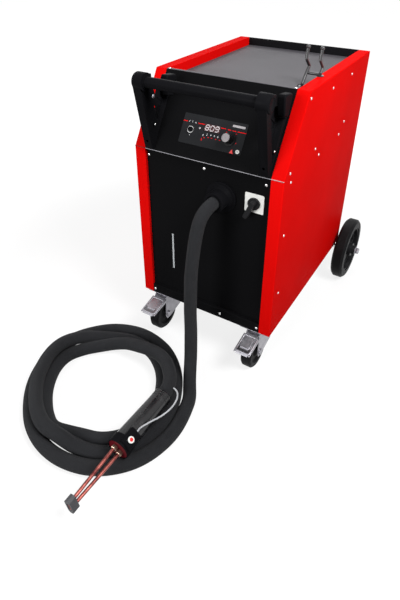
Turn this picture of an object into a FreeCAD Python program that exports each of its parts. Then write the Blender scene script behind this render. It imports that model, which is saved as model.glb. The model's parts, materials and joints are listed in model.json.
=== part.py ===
import FreeCAD, Part
import math
import os

import Sketcher
from FreeCAD import Placement, Rotation, Vector

# A mobile induction heater: a wheeled cabinet with a sloping control face and a
# carrying handle, and a hand torch on a sleeved hose that lies coiled in front.
# Millimetres and degrees. The origin is on the floor, midway between the wheels'
# ends and midway from the torch's nose to the back of the rear wheels.
# +Y points to the back of the cabinet and +Z up.

# Driving dimensions

SIZES = {
    # Cabinet
    "cabinet_width": 400,
    "cabinet_depth": 551,
    "panel_height": 616,
    "knee_height": 447,
    "slope_run": 104,
    "ground_clearance": 131,
    "front_setback": 43,
    "sheet_gauge": 2,
    "flange_width": 31,
    "face_recess": 8,
    "bend_radius": 2,
    "sill_height": 28,
    "rim_height": 20,
    "rim_start": 6,
    "tab_drop": 9,
    "tray_depth": 23,
    "tray_hem": 6,
    "mat_gauge": 2,
    "mat_margin": 2.5,
    "mat_corner": 6,
    # Clearances
    "panel_gap": 0.3,
    "running_gap": 0.05,
    "slide_gap": 0.1,
    "overrun": 5,
    # Rear panel
    "grille_height": 205,
    "grille_inner": 30,
    "grille_outer": 106,
    "grille_slot": 9,
    "grille_count": 20,
    "louvre_length": 130,
    "louvre_slot": 6,
    "louvre_pitch": 16,
    "louvre_count": 8,
    "louvre_bottom": 400,
    "louvre_offset": 30,
    "gland_side": 60,
    "gland_height": 60,
    "gland_bore": 6.5,
    "gland_radius": 11,
    "gland_nut_radius": 15,
    "gland_nut_gauge": 6,
    "gland_dome_length": 22,
    # Control face
    "label_width": 166,
    "label_height": 71,
    "label_foot": 33.5,
    "label_gauge": 0.8,
    "label_corner": 3,
    "display_width": 41,
    "display_height": 16,
    "display_gauge": 1.2,
    "display_x": 2.5,
    "display_up": 79.5,
    "lamp_x": 34,
    "lamp_up": 74.7,
    "lamp_radius": 2,
    "lamp_height": 1.2,
    "warning_x": 60,
    "warning_up": 38.7,
    "warning_side": 10,
    "dial_x": 47,
    "dial_up": 63,
    "dial_radius": 15,
    "dial_height": 18,
    "dial_cap_radius": 11,
    "dial_skirt": 3,
    "dial_flute_radius": 1.6,
    "dial_flute_count": 8,
    "spindle_radius": 3,
    "spindle_length": 12,
    "mode_x": 58,
    "mode_up": 67.5,
    "mode_radius": 6,
    "power_x": 75.7,
    "power_up": 40,
    "power_radius": 4.5,
    "button_height": 2.5,
    "button_ring": 1.4,
    "button_stem_share": 0.6,
    "button_travel": 1.5,
    "board_drop": 22,
    "board_width": 200,
    "board_length": 84,
    "board_gauge": 1.6,
    "board_foot": 24,
    "standoff_radius": 4,
    "standoff_margin": 8,
    "chip_width": 40,
    "chip_length": 25,
    "chip_height": 12,
    # Front panel
    "outlet_x": 44,
    "outlet_height": 367,
    "outlet_flange_radius": 39,
    "outlet_flange_gauge": 5,
    "outlet_shoulder_radius": 32,
    "outlet_shoulder_length": 9,
    "outlet_collar_radius": 25,
    "outlet_reach": 40,
    "outlet_seat": 12,
    "outlet_hole_radius": 30,
    "outlet_tail": 14,
    "sight_x": 102,
    "sight_bottom": 103,
    "sight_top": 216,
    "sight_slot": 8,
    "sight_tube_radius": 6,
    "sight_elbow_height": 18,
    "switch_x": 130,
    "switch_height": 373.5,
    "switch_plate_side": 48,
    "switch_plate_gauge": 1.5,
    "switch_plate_corner": 3,
    "switch_body_side": 44,
    "switch_body_depth": 46,
    "switch_knob_radius": 15,
    "switch_knob_base": 5,
    "switch_lever_width": 11,
    "switch_lever_reach": 36,
    "switch_lever_back": 12,
    "switch_lever_rise": 15,
    "switch_pointer_angle": 24,
    "switch_spindle_depth": 20,
    # Handle
    "bar_radius": 12.5,
    "bar_forward": 20,
    "bar_height": 616,
    "cheek_inner": 143,
    "cheek_outer": 164,
    "cheek_web": 6,
    "cheek_head_radius": 20,
    "cheek_collar_radius": 16,
    "cheek_collar_length": 6,
    "cheek_toe_forward": 6,
    "cheek_toe_rise": 8,
    "cheek_rim": 22,
    "cheek_foot_rim": 10,
    "cheek_lug_back": 78,
    "cheek_lug_rise": 2,
    "cheek_heel_drop": 5,
    "lever_corner": 4,
    "cheek_hole_radius": 3.5,
    "cheek_hole_rise": 24,
    "cheek_hole_depth": 8,
    # Inside the cabinet
    "tank_width": 110,
    "tank_depth": 190,
    "tank_height": 250,
    "tank_back": 46,
    "tank_corner": 10,
    "neck_radius": 22,
    "neck_height": 18,
    "pump_width": 80,
    "pump_length": 150,
    "pump_radius": 42,
    "pump_foot": 8,
    "pump_gap": 1,
    "pump_head_radius": 50,
    "pump_head_length": 25,
    "module_width": 120,
    "module_depth": 330,
    "module_height": 240,
    "module_back": 70,
    "fin_count": 12,
    "fin_gauge": 3,
    "fin_pitch": 20,
    "fin_height": 30,
    "core_width": 100,
    "core_depth": 90,
    "core_height": 80,
    "core_limb": 22,
    "winding_radius": 34,
    "radiator_side": 236,
    "radiator_depth": 34,
    "radiator_wall": 8,
    "radiator_fin_count": 18,
    "radiator_fin_pitch": 12,
    "radiator_fin_gauge": 2,
    "fan_side": 236,
    "fan_depth": 30,
    "fan_bore_radius": 110,
    "fan_tip_gap": 4,
    "fan_hub_radius": 30,
    "fan_motor_length": 10,
    "fan_strut_width": 8,
    "fan_pin_radius": 4,
    "blade_count": 5,
    "blade_root_lean": 6,
    "blade_tip_lean": 5,
    "blade_root_chord": 26,
    "blade_tip_chord": 62,
    "blade_gauge": 2.4,
    # Rear wheels
    "wheel_radius": 102,
    "wheel_y": 520,
    "tyre_width": 38,
    "tyre_shoulder": 7,
    "tyre_depth": 26,
    "wheel_offset": 30,
    "hub_width": 42,
    "hub_boss_radius": 22,
    "hub_rim_gauge": 5,
    "hub_rim_width": 32,
    "hub_web_gauge": 8,
    "spoke_count": 5,
    "spoke_inner": 30,
    "spoke_outer": 62,
    "spoke_half_inner": 9,
    "spoke_half_outer": 27,
    "spoke_corner": 5,
    "axle_radius": 10,
    "axle_reach": 56,
    "cap_radius": 15,
    "cap_reach": 62,
    "bracket_inset": 42,
    "bracket_gauge": 4,
    "bracket_flange": 24,
    "bracket_length": 90,
    "bracket_boss_radius": 18,
    # Casters
    "caster_inset": 49,
    "caster_swivel_y": 8,
    "caster_trail": 34,
    "caster_radius": 50,
    "caster_width": 30,
    "caster_edge": 4,
    "caster_boss_radius": 14,
    "caster_hollow_radius": 36,
    "caster_hollow_depth": 6,
    "caster_bolt_radius": 5,
    "caster_side_gap": 2,
    "caster_plate_width": 84,
    "caster_plate_length": 100,
    "caster_plate_gauge": 3,
    "caster_plate_corner": 8,
    "race_radius": 37,
    "race_depth": 8,
    "kingpin_radius": 8,
    "fork_gauge": 3,
    "fork_crown_radius": 35,
    "fork_crown_gauge": 4,
    "fork_gap": 0.5,
    "fork_bolt_head": 9,
    "fork_bolt_head_gauge": 4,
    "fork_tip_radius": 14,
    "pedal_width": 46,
    "pedal_length": 72,
    "pedal_drop": 16,
    "pedal_gauge": 2,
    "pedal_skirt": 9,
    "pedal_pin_radius": 3,
    "pedal_pin_forward": 38,
    "pedal_pin_height": 109.5,
    "pedal_panel_width": 24,
    "pedal_panel_length": 34,
    "pedal_panel_rise": 2,
    # Hose and torch
    "hose_radius": 17.5,
    "coil_x": 121,
    "coil_forward": 326,
    "coil_mean_radius": 225,
    "coil_shift": 12,
    "coil_shift_angle": 97,
    "coil_oval": 16,
    "coil_oval_angle": 130,
    "coil_pitch": 38,
    "coil_stack_pitch": 20,
    "coil_stack_rise": 32.5,
    "hose_floor_gap": 1,
    "coil_end_peel": 58,
    "torch_x": 38,
    "torch_height": 64.5,
    "torch_tail_y": 296,
    "torch_roll": 42,
    "boot_radius": 22.5,
    "boot_length": 30,
    "boot_groove": 1,
    "boot_groove_width": 3,
    "grip_front_radius": 26.5,
    "grip_length": 121,
    "torch_collar_radius": 27.5,
    "torch_collar_length": 24,
    "torch_collar_rim": 2,
    "torch_face_sink": 5,
    "torch_face_gauge": 3,
    "housing_width": 30,
    "housing_length": 40,
    "housing_front": 5,
    "housing_roof": 35,
    "housing_corner": 6,
    "torch_button_back": 16,
    "torch_button_radius": 7.5,
    "torch_button_rise": 2.5,
    "torch_button_travel": 2,
    "copper_radius": 4,
    "copper_nut_radius": 6.5,
    "copper_nut_length": 9,
    "copper_spacing_back": 16,
    "copper_spacing_front": 13,
    "head_twist": 31,
    "core_head_length": 17,
    "core_head_width": 36,
    "core_head_height": 17,
    "core_head_bevel": 5,
    "torch_nose_y": 621,
    "lead_radius": 2,
    "lead_out": 30,
    "lead_end_back": 24,
    "lead_end_angle": 35,
    # Torch rest on the tray
    "rest_x": 141,
    "rest_back": 205,
    "rest_spacing": 33,
    "rest_radius": 3.5,
    "rest_bar_rise": 27,
    "rest_bar_back": 23,
    "rest_knee_rise": 41,
    "rest_knee_back": 34,
    "rest_neck_rise": 62,
    "rest_neck_back": 10,
    "rest_tip_rise": 86,
    "rest_tip_back": 16,
    "rest_tip_radius": 5,
    "rest_foot_radius": 8,
    "rest_foot_gauge": 2,
}

doc = FreeCAD.newDocument("InductionHeater")
sheet = doc.addObject("Spreadsheet::Sheet", "Sizes")
for row, (alias, value) in enumerate(SIZES.items(), 1):
    sheet.set("A%d" % row, alias)
    sheet.set("B%d" % row, str(value))
    sheet.setAlias("B%d" % row, alias)
doc.recompute()


class Size:
    """A number worked out from the sheet, with the expression that binds to it."""

    def __init__(self, value, text):
        self.value = float(value)
        self.text = text

    def combine(self, other, sign, turned=False):
        other = sized(other)
        first, second = (other, self) if turned else (self, other)
        answers = {
            "+": lambda: first.value + second.value,
            "-": lambda: first.value - second.value,
            "*": lambda: first.value * second.value,
            "/": lambda: first.value / second.value,
        }
        return Size(answers[sign](), "(%s %s %s)" % (first.text, sign, second.text))

    def __add__(self, other):
        return self.combine(other, "+")

    def __radd__(self, other):
        return self.combine(other, "+", True)

    def __sub__(self, other):
        return self.combine(other, "-")

    def __rsub__(self, other):
        return self.combine(other, "-", True)

    def __mul__(self, other):
        return self.combine(other, "*")

    def __rmul__(self, other):
        return self.combine(other, "*", True)

    def __truediv__(self, other):
        return self.combine(other, "/")

    def __rtruediv__(self, other):
        return self.combine(other, "/", True)

    def __neg__(self):
        return self.combine(-1, "*")

    def __float__(self):
        return self.value


def sized(number):
    """The number as a Size."""
    return number if isinstance(number, Size) else Size(number, repr(number))


def root(size):
    """The square root of a size."""
    return Size(math.sqrt(size.value), "sqrt(%s)" % size.text)


def sine(angle):
    """The sine of an angle in degrees."""
    return Size(math.sin(math.radians(angle.value)), "sin(%s * 1 deg)" % angle.text)


def cosine(angle):
    """The cosine of an angle in degrees."""
    return Size(math.cos(math.radians(angle.value)), "cos(%s * 1 deg)" % angle.text)


class Sheet:
    """The driving dimensions by name."""

    def __getattr__(self, alias):
        return Size(sheet.get(alias), "Sizes." + alias)


size = Sheet()

# Places that several pieces share

half = size.cabinet_width / 2
skin = size.sheet_gauge
opening = half - size.flange_width
between = opening - size.panel_gap
front = -size.front_setback
rear = front + size.cabinet_depth
deck = size.ground_clearance
top = deck + size.panel_height
knee = deck + size.knee_height
rise = size.panel_height - size.knee_height
run = size.slope_run
slope = root(run * run + rise * rise)
face = front + size.face_recess
wall_in = half - skin
over = size.overrun

X_AXIS = Vector(1, 0, 0)
Y_AXIS = Vector(0, 1, 0)
Z_AXIS = Vector(0, 0, 1)
NO_TURN = Rotation()
ALONG_X = Rotation(Y_AXIS, 90)
ALONG_Y = Rotation(X_AXIS, -90)
SIDES = (("left", -1), ("right", 1))
FACING = {"XY": 1, "XZ": -1, "YZ": 1}


def slope_z(y, depth):
    """Height of the line that runs the given depth under the slope, at y."""
    return knee + (rise * (y - front) - depth * slope) / run


def slope_y(z, depth):
    """The y of the line that runs the given depth under the slope, at height z."""
    return front + (run * (z - knee) + depth * slope) / rise


def tilted(forward, up):
    """Along and off the slope, for a step back and up from the knee."""
    return ((forward * run + up * rise) / slope, (up * run - forward * rise) / slope)


def across(side, near, far):
    """The span between two distances from the middle plane, on one side."""
    return (near, far) if side > 0 else (-far, -near)


def rectangle(left, right, bottom, height_end):
    """The corners of an upright rectangle."""
    return [(left, bottom), (right, bottom), (right, height_end), (left, height_end)]


def vector(*parts):
    """A vector of plain numbers from sizes."""
    return Vector(*(float(part) for part in parts))


def place(thing, base, rotation=NO_TURN):
    """Put an object where its base is bound to the sheet."""
    thing.Placement = Placement(vector(*base), rotation)
    for axis, part in zip("xyz", base):
        thing.setExpression("Placement.Base." + axis, sized(part).text)


class Circle:
    """A circle in a sketch."""

    def __init__(self, across_at, up_at, radius):
        self.middle = (sized(across_at), sized(up_at))
        self.radius = sized(radius)


class Piece:
    """One body, made from sketches on its own origin planes."""

    def __init__(self, label):
        self.body = doc.addObject("PartDesign::Body", label)
        self.body.Label = label
        self.label = label

    def origin(self, role):
        """The named plane or axis of this body's origin."""
        return next(part for part in self.body.Origin.OriginFeatures if part.Role == role)

    def sketch(self, plane, level, outlines, middle=(0, 0)):
        """A sketch of closed outlines on a plane moved along its axis to a level."""
        sketch = self.body.newObject("Sketcher::SketchObject", self.label + "_sketch")
        sketch.AttachmentSupport = [(self.origin(plane + "_Plane"), "")]
        sketch.MapMode = "FlatFace"
        sketch.setExpression("AttachmentOffset.Base.x", sized(middle[0]).text)
        sketch.setExpression("AttachmentOffset.Base.y", sized(middle[1]).text)
        sketch.setExpression("AttachmentOffset.Base.z", (FACING[plane] * sized(level)).text)
        for outline in outlines:
            if isinstance(outline, Circle):
                draw_circle(sketch, outline)
            else:
                draw_polygon(sketch, outline)
        return sketch

    def feature(self, kind, profile):
        """A feature of this body that works from a sketch."""
        feature = self.body.newObject("PartDesign::" + kind, self.label + "_" + kind.lower())
        feature.Profile = profile
        self.body.Tip = feature
        return feature

    def pad(self, plane, outlines, start, end, middle=(0, 0)):
        """Material from one level to another along the plane's axis."""
        profile = self.sketch(plane, start, outlines, middle)
        feature = self.feature("Pad", profile)
        feature.setExpression("Length", (sized(end) - start).text)
        feature.Reversed = FACING[plane] < 0
        return feature

    def cut(self, plane, outlines, start, end, middle=(0, 0)):
        """An opening from one level to another along the plane's axis."""
        doc.recompute()
        before = self.body.Shape.Volume
        profile = self.sketch(plane, start, outlines, middle)
        feature = self.feature("Pocket", profile)
        feature.setExpression("Length", (sized(end) - start).text)
        feature.Reversed = FACING[plane] > 0
        doc.recompute()
        if not self.body.Shape.Volume < before:
            raise RuntimeError("a cut takes nothing from " + self.label)
        return feature

    def turn(self, kind, outline, axis="V_Axis", plane="XY"):
        """A Revolution or Groove of an outline about an axis of its sketch."""
        profile = self.sketch(plane, 0, [outline])
        feature = self.feature(kind, profile)
        feature.ReferenceAxis = (profile, [axis])
        return feature

    def ring(self, feature, axis, count):
        """Copies of a feature around an axis."""
        pattern = self.body.newObject("PartDesign::PolarPattern", self.label + "_ring")
        pattern.Originals = [feature]
        pattern.Axis = axis
        pattern.setExpression("Occurrences", count.text)
        self.body.Tip = pattern
        return pattern

    def row(self, feature, axis, pitch, count):
        """Evenly spaced copies of a feature along an axis."""
        pattern = self.body.newObject("PartDesign::LinearPattern", self.label + "_row")
        pattern.Originals = [feature]
        pattern.Direction = axis
        pattern.setExpression("Length", (pitch * (count - 1)).text)
        pattern.setExpression("Occurrences", count.text)
        self.body.Tip = pattern
        return pattern

    def edges(self, wanted):
        """The names of this body's edges that a test picks out."""
        doc.recompute()
        found = []
        for number, edge in enumerate(self.body.Shape.Edges, 1):
            if wanted(edge):
                found.append("Edge%d" % number)
        if not found:
            raise RuntimeError("no such edge on " + self.label)
        return found

    def dress(self, kind, names, amount):
        """A Fillet or Chamfer on named edges."""
        base = self.body.Tip
        feature = self.body.newObject("PartDesign::" + kind, self.label + "_" + kind.lower())
        feature.Base = (base, names)
        feature.setExpression("Radius" if kind == "Fillet" else "Size", sized(amount).text)
        self.body.Tip = feature
        return feature

    def round_corners(self, axis, corners, radius):
        """Round the straight edges that run along an axis through the given corners."""
        others = [index for index in range(3) if index != "XYZ".index(axis)]
        places = [[float(part) for part in corner] for corner in corners]

        def wanted(edge):
            ends = [vertex.Point for vertex in edge.Vertexes]
            if len(ends) < 2:
                return False
            flat = [[end[index] for index in others] for end in ends]
            return any(math.dist(flat[0], spot) + math.dist(flat[1], spot) < TOUCH for spot in places)

        self.dress("Fillet", self.edges(wanted), radius)

    def round_rims(self, radius, rim_radius, kind="Fillet"):
        """Round the circular edges of one radius."""

        def wanted(edge):
            curve = edge.Curve
            return curve.TypeId == "Part::GeomCircle" and abs(curve.Radius - float(radius)) < TOUCH

        self.dress(kind, self.edges(wanted), rim_radius)


TOUCH = 1e-4


def bind_point(sketch, element, vertex, spot):
    """Hold a sketch point at its place from the sketch's origin."""
    for kind, part in zip(("DistanceX", "DistanceY"), spot):
        part = sized(part)
        number = sketch.addConstraint(Sketcher.Constraint(kind, -1, 1, element, vertex, part.value))
        sketch.setExpression("Constraints[%d]" % number, part.text)


def draw_polygon(sketch, points):
    """A closed outline whose corners are bound to the sheet."""
    first = sketch.GeometryCount
    count = len(points)
    for index in range(count):
        start = vector(*points[index], 0)
        end = vector(*points[(index + 1) % count], 0)
        sketch.addGeometry(Part.LineSegment(start, end), False)
    for index in range(count):
        following = first + (index + 1) % count
        sketch.addConstraint(Sketcher.Constraint("Coincident", first + index, 2, following, 1))
    for index, spot in enumerate(points):
        bind_point(sketch, first + index, 1, spot)


def draw_circle(sketch, circle):
    """A circle whose centre and radius are bound to the sheet."""
    element = sketch.addGeometry(Part.Circle(vector(*circle.middle, 0), Z_AXIS, circle.radius.value), False)
    number = sketch.addConstraint(Sketcher.Constraint("Radius", element, circle.radius.value))
    sketch.setExpression("Constraints[%d]" % number, circle.radius.text)
    bind_point(sketch, element, 3, circle.middle)


nodes = []


def keep(thing, label=None):
    """List an object as one of the pieces that are written out."""
    if label:
        thing.Label = label
    nodes.append(thing)
    return thing


def cylinder(name, base, rotation, radius, height):
    """A plain cylinder bound to the sheet."""
    solid = doc.addObject("Part::Cylinder", name)
    solid.setExpression("Radius", sized(radius).text)
    solid.setExpression("Height", sized(height).text)
    place(solid, base, rotation)
    return solid


def block(name, base, lengths):
    """A plain box bound to the sheet."""
    solid = doc.addObject("Part::Box", name)
    for side, length in zip(("Length", "Width", "Height"), lengths):
        solid.setExpression(side, sized(length).text)
    place(solid, base)
    return solid


def fuse(name, parts):
    """One object from several."""
    joined = doc.addObject("Part::MultiFuse", name)
    joined.Shapes = parts
    return joined


def carve(name, base, tool):
    """One object less another."""
    carved = doc.addObject("Part::Cut", name)
    carved.Base = base
    carved.Tool = tool
    return carved


def on_slope(piece):
    """Stand a body that is drawn flat on the control face, its foot at the knee."""
    place(piece.body, (0, front, knee), Rotation(X_AXIS, math.degrees(math.atan2(rise, run))))
    piece.body.setExpression("Placement.Rotation.Angle", "atan2(%s; %s)" % (rise.text, run.text))


# Sheet metal cabinet

def side_panel(name, side):
    """A panel whose front, slope and top edges fold inwards, with a return lip."""
    piece = Piece(name)
    outline = [(front, deck), (rear, deck), (rear, top), (front + run, top), (front, knee)]
    piece.pad("YZ", [outline], *across(side, opening, half))
    folds = [(front, knee), (front + run, top)]
    cavity = fold_outline(skin, skin)
    piece.cut("YZ", [cavity], *across(side, opening + skin, half - skin))
    mouth = fold_outline(size.face_recess, size.tray_depth)
    piece.cut("YZ", [mouth], *across(side, opening - over, opening + skin))
    notch = rectangle(rear - skin, rear + over, deck, top - skin)
    piece.cut("YZ", [notch], *across(side, opening - over, half - skin))
    bends = bend_edges(piece, side, folds)
    piece.dress("Fillet", bends, size.bend_radius)
    keep(piece.body)


def fold_outline(depth, top_depth):
    """The inside of a side panel, open at the back and below."""
    inner_front = front + depth
    inner_top = top - top_depth
    return [
        (inner_front, deck - over),
        (rear + over, deck - over),
        (rear + over, inner_top),
        (slope_y(inner_top, depth), inner_top),
        (inner_front, slope_z(inner_front, depth)),
    ]


def bend_edges(piece, side, folds):
    """The outer edges of the front, slope and top folds."""
    lines = [
        ((front, deck), folds[0]),
        (folds[0], folds[1]),
        (folds[1], (rear, top)),
    ]
    middles = [vector(side * half, (a[0] + b[0]) / 2, (a[1] + b[1]) / 2) for a, b in lines]
    return piece.edges(lambda edge: any(edge.CenterOfMass.distanceToPoint(spot) < TOUCH for spot in middles))


def make_cabinet():
    side_panel("left_side_panel", -1)
    side_panel("right_side_panel", 1)
    wide = half - skin

    pan = Piece("base_pan")
    floor_outline = [
        (-between, front), (between, front), (between, face), (wide, face),
        (wide, rear - skin), (-wide, rear - skin), (-wide, face), (-between, face),
    ]
    pan.pad("XY", [floor_outline], deck, deck + skin)
    sill = rectangle(-between, between, deck, deck + size.sill_height)
    pan.pad("XZ", [sill], front, front + skin)
    pan.pad("XY", [rectangle(-between, between, front, face)], deck + size.sill_height - skin,
            deck + size.sill_height)
    for side in (-1, 1):
        rim = rectangle(face + skin + size.rim_start, rear - skin, deck, deck + size.rim_height)
        pan.pad("YZ", [rim], *across(side, wide - skin, wide))
    keep(pan.body)

    panel = Piece("front_panel")
    shoulder = knee - size.tab_drop
    outline = [
        (-wide, deck + skin), (wide, deck + skin), (wide, shoulder), (between, shoulder),
        (between, knee), (-between, knee), (-between, shoulder), (-wide, shoulder),
    ]
    panel.pad("XZ", [outline], face, face + skin)
    outlet = Circle(size.outlet_x, deck + size.outlet_height, size.outlet_hole_radius)
    switch = Circle(size.switch_x, deck + size.switch_height, size.spindle_radius + size.panel_gap)
    panel.cut("XZ", [outlet, switch], face - over, face + skin + over)
    slot_left = -size.sight_x - size.sight_slot / 2
    slot_right = -size.sight_x + size.sight_slot / 2
    slot = rectangle(slot_left, slot_right, deck + size.sight_bottom, deck + size.sight_top)
    panel.cut("XZ", [slot], face - over, face + skin + over)
    keep(panel.body)

    back = Piece("rear_panel")
    outline = [
        (-wide, deck), (wide, deck), (wide, top - skin), (between, top - skin),
        (between, top), (-between, top), (-between, top - skin), (-wide, top - skin),
    ]
    back.pad("XZ", [outline], rear - skin, rear)
    gland = Circle(half - size.gland_side, deck + size.gland_height, size.gland_radius + size.panel_gap)
    back.cut("XZ", [gland], rear - skin - over, rear + over)
    slot = rectangle(-size.grille_slot / 2, size.grille_slot / 2, size.grille_inner, size.grille_outer)
    middle = (0, deck + size.grille_height)
    cut = back.cut("XZ", [slot], rear - skin - over, rear + over, middle)
    back.ring(cut, (cut.Profile[0], ["N_Axis"]), size.grille_count)
    for side in (-1, 1):
        ends = across(side, size.louvre_offset, size.louvre_offset + size.louvre_length)
        low = deck + size.louvre_bottom
        louvre = rectangle(ends[0], ends[1], low, low + size.louvre_slot)
        cut = back.cut("XZ", [louvre], rear - skin - over, rear + over)
        back.row(cut, (cut.Profile[0], ["V_Axis"]), size.louvre_pitch, size.louvre_count)
    keep(back.body)

    tray = Piece("top_tray")
    tray_top = top - size.tray_depth
    lip = front + run
    tray.pad("XY", [rectangle(-wide, wide, lip, rear - skin)], tray_top - skin, tray_top)
    wall = rectangle(-between, between, tray_top - skin, top)
    tray.pad("XZ", [wall], lip, lip + skin)
    tray.pad("XY", [rectangle(-between, between, lip, lip + size.tray_hem)], top - skin, top)
    tray.pad("XZ", [wall], rear - skin - skin, rear - skin)
    keep(tray.body)

    mat = Piece("tray_mat")
    margin = size.mat_margin
    mat_outline = rectangle(margin - between, between - margin, lip + skin + margin,
                            rear - skin - skin - margin)
    mat.pad("XY", [mat_outline], tray_top, tray_top + size.mat_gauge)
    mat.round_corners("Z", mat_outline, size.mat_corner)
    notch_reach = size.rest_foot_radius + margin
    rest_y = front + size.rest_back
    notch = rectangle(size.rest_x - notch_reach, between, rest_y - notch_reach, rest_y + notch_reach)
    mat.cut("XY", [notch], tray_top - over, tray_top + size.mat_gauge + over)
    keep(mat.body)


# Control face and what is on it

def slope_holes(radius_extra):
    """The holes for the dial's spindle and the two buttons' stems."""
    return [
        Circle(size.dial_x, size.dial_up, size.spindle_radius + radius_extra),
        Circle(-size.mode_x, size.mode_up, size.mode_radius * size.button_stem_share + radius_extra),
        Circle(size.power_x, size.power_up, size.power_radius * size.button_stem_share + radius_extra),
    ]


def slope_button(name, across_at, up_at, radius):
    """A round button with a raised rim and a stem through the control face."""
    button = Piece(name)
    foot = size.label_gauge + size.button_travel + size.panel_gap
    crown = foot + size.button_height
    stem = Circle(across_at, up_at, radius * size.button_stem_share)
    button.pad("XY", [stem], -skin - size.button_travel, foot)
    button.pad("XY", [Circle(across_at, up_at, radius)], foot, crown)
    dish = Circle(across_at, up_at, radius - size.button_ring)
    button.cut("XY", [dish], crown - size.button_height / 3, crown + over)
    on_slope(button)
    keep(button.body)


def make_control_face():
    fascia = Piece("control_fascia")
    lip = size.face_recess + skin
    outline = [
        tilted(0, 0),
        (slope, 0),
        tilted(run, rise - skin * slope / run),
        tilted(skin * (run + slope) / rise, skin),
        tilted(lip, skin),
        tilted(lip, 0),
    ]
    fascia.pad("YZ", [outline], -between, between)
    fascia.cut("XY", slope_holes(size.slide_gap), -skin - over, over)
    on_slope(fascia)
    keep(fascia.body)

    label = Piece("control_label")
    foot = size.label_foot
    corners = rectangle(-size.label_width / 2, size.label_width / 2, foot, foot + size.label_height)
    label.pad("XY", [corners], 0, size.label_gauge)
    label.round_corners("Z", corners, size.label_corner)
    label.cut("XY", slope_holes(size.slide_gap), -over, size.label_gauge + over)
    on_slope(label)
    keep(label.body)

    face_up = size.label_gauge
    display = Piece("display_window")
    left = size.display_width / 2 + size.display_x
    pane = rectangle(-left, size.display_width - left, size.display_up - size.display_height / 2,
                     size.display_up + size.display_height / 2)
    display.pad("XY", [pane], face_up, face_up + size.display_gauge)
    on_slope(display)
    keep(display.body)

    lamp_height = face_up + size.lamp_height
    lamp = cylinder("lamp", (-size.lamp_x, size.lamp_up, face_up), NO_TURN, size.lamp_radius, size.lamp_height)
    warning = Piece("warning_lamp")
    reach = size.warning_side / 2
    triangle = [
        (size.warning_x - reach, size.warning_up - reach),
        (size.warning_x + reach, size.warning_up - reach),
        (size.warning_x, size.warning_up + reach),
    ]
    warning.pad("XY", [triangle], face_up, lamp_height)
    lamps = doc.addObject("Part::Compound", "indicator_lamps")
    lamps.Links = [lamp, warning.body]
    place(lamps, (0, front, knee), Rotation(X_AXIS, math.degrees(math.atan2(rise, run))))
    lamps.setExpression("Placement.Rotation.Angle", "atan2(%s; %s)" % (rise.text, run.text))
    keep(lamps)

    dial = Piece("adjust_knob")
    seat = face_up + size.panel_gap
    crown = face_up + size.dial_height
    spot = (size.dial_x, size.dial_up)
    dial.pad("XY", [Circle(*spot, size.spindle_radius)], face_up - size.spindle_length, seat)
    dial.pad("XY", [Circle(*spot, size.dial_radius)], seat, seat + size.dial_skirt)
    dial.pad("XY", [Circle(*spot, size.dial_cap_radius)], seat + size.dial_skirt, crown)
    flute = Circle(0, size.dial_cap_radius + size.dial_flute_radius / 2, size.dial_flute_radius)
    cut = dial.cut("XY", [flute], seat + size.dial_skirt, crown - size.dial_skirt, spot)
    dial.ring(cut, (cut.Profile[0], ["N_Axis"]), size.dial_flute_count)
    on_slope(dial)
    keep(dial.body)

    slope_button("mode_button", -size.mode_x, size.mode_up, size.mode_radius)
    slope_button("power_button", size.power_x, size.power_up, size.power_radius)

    board = Piece("control_board")
    low = -skin - size.board_drop
    edge = size.board_width / 2
    foot = size.board_foot
    board.pad("XY", [rectangle(-edge, edge, foot, foot + size.board_length)], low - size.board_gauge, low)
    margin = size.standoff_margin
    posts = []
    for across_at in (margin - edge, edge - margin):
        for up_at in (foot + margin, foot + size.board_length - margin):
            posts.append(Circle(across_at, up_at, size.standoff_radius))
    board.pad("XY", posts, low, -skin)
    chip_left = -edge + margin + margin + margin
    chip = rectangle(chip_left, chip_left + size.chip_width, foot + margin, foot + margin + size.chip_length)
    board.pad("XY", [chip], low, low + size.chip_height)
    on_slope(board)
    keep(board.body)


# Carrying handle

CHEEK_RIM_SHARE = 0.137
CHEEK_ROOF_SHARE = 0.178
WINDOW_SHARES = ((0.19, 0.1), (0.24, 0.75), (0.63, 0.1))
WINDOW_CORNER_SHARE = 0.035


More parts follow.
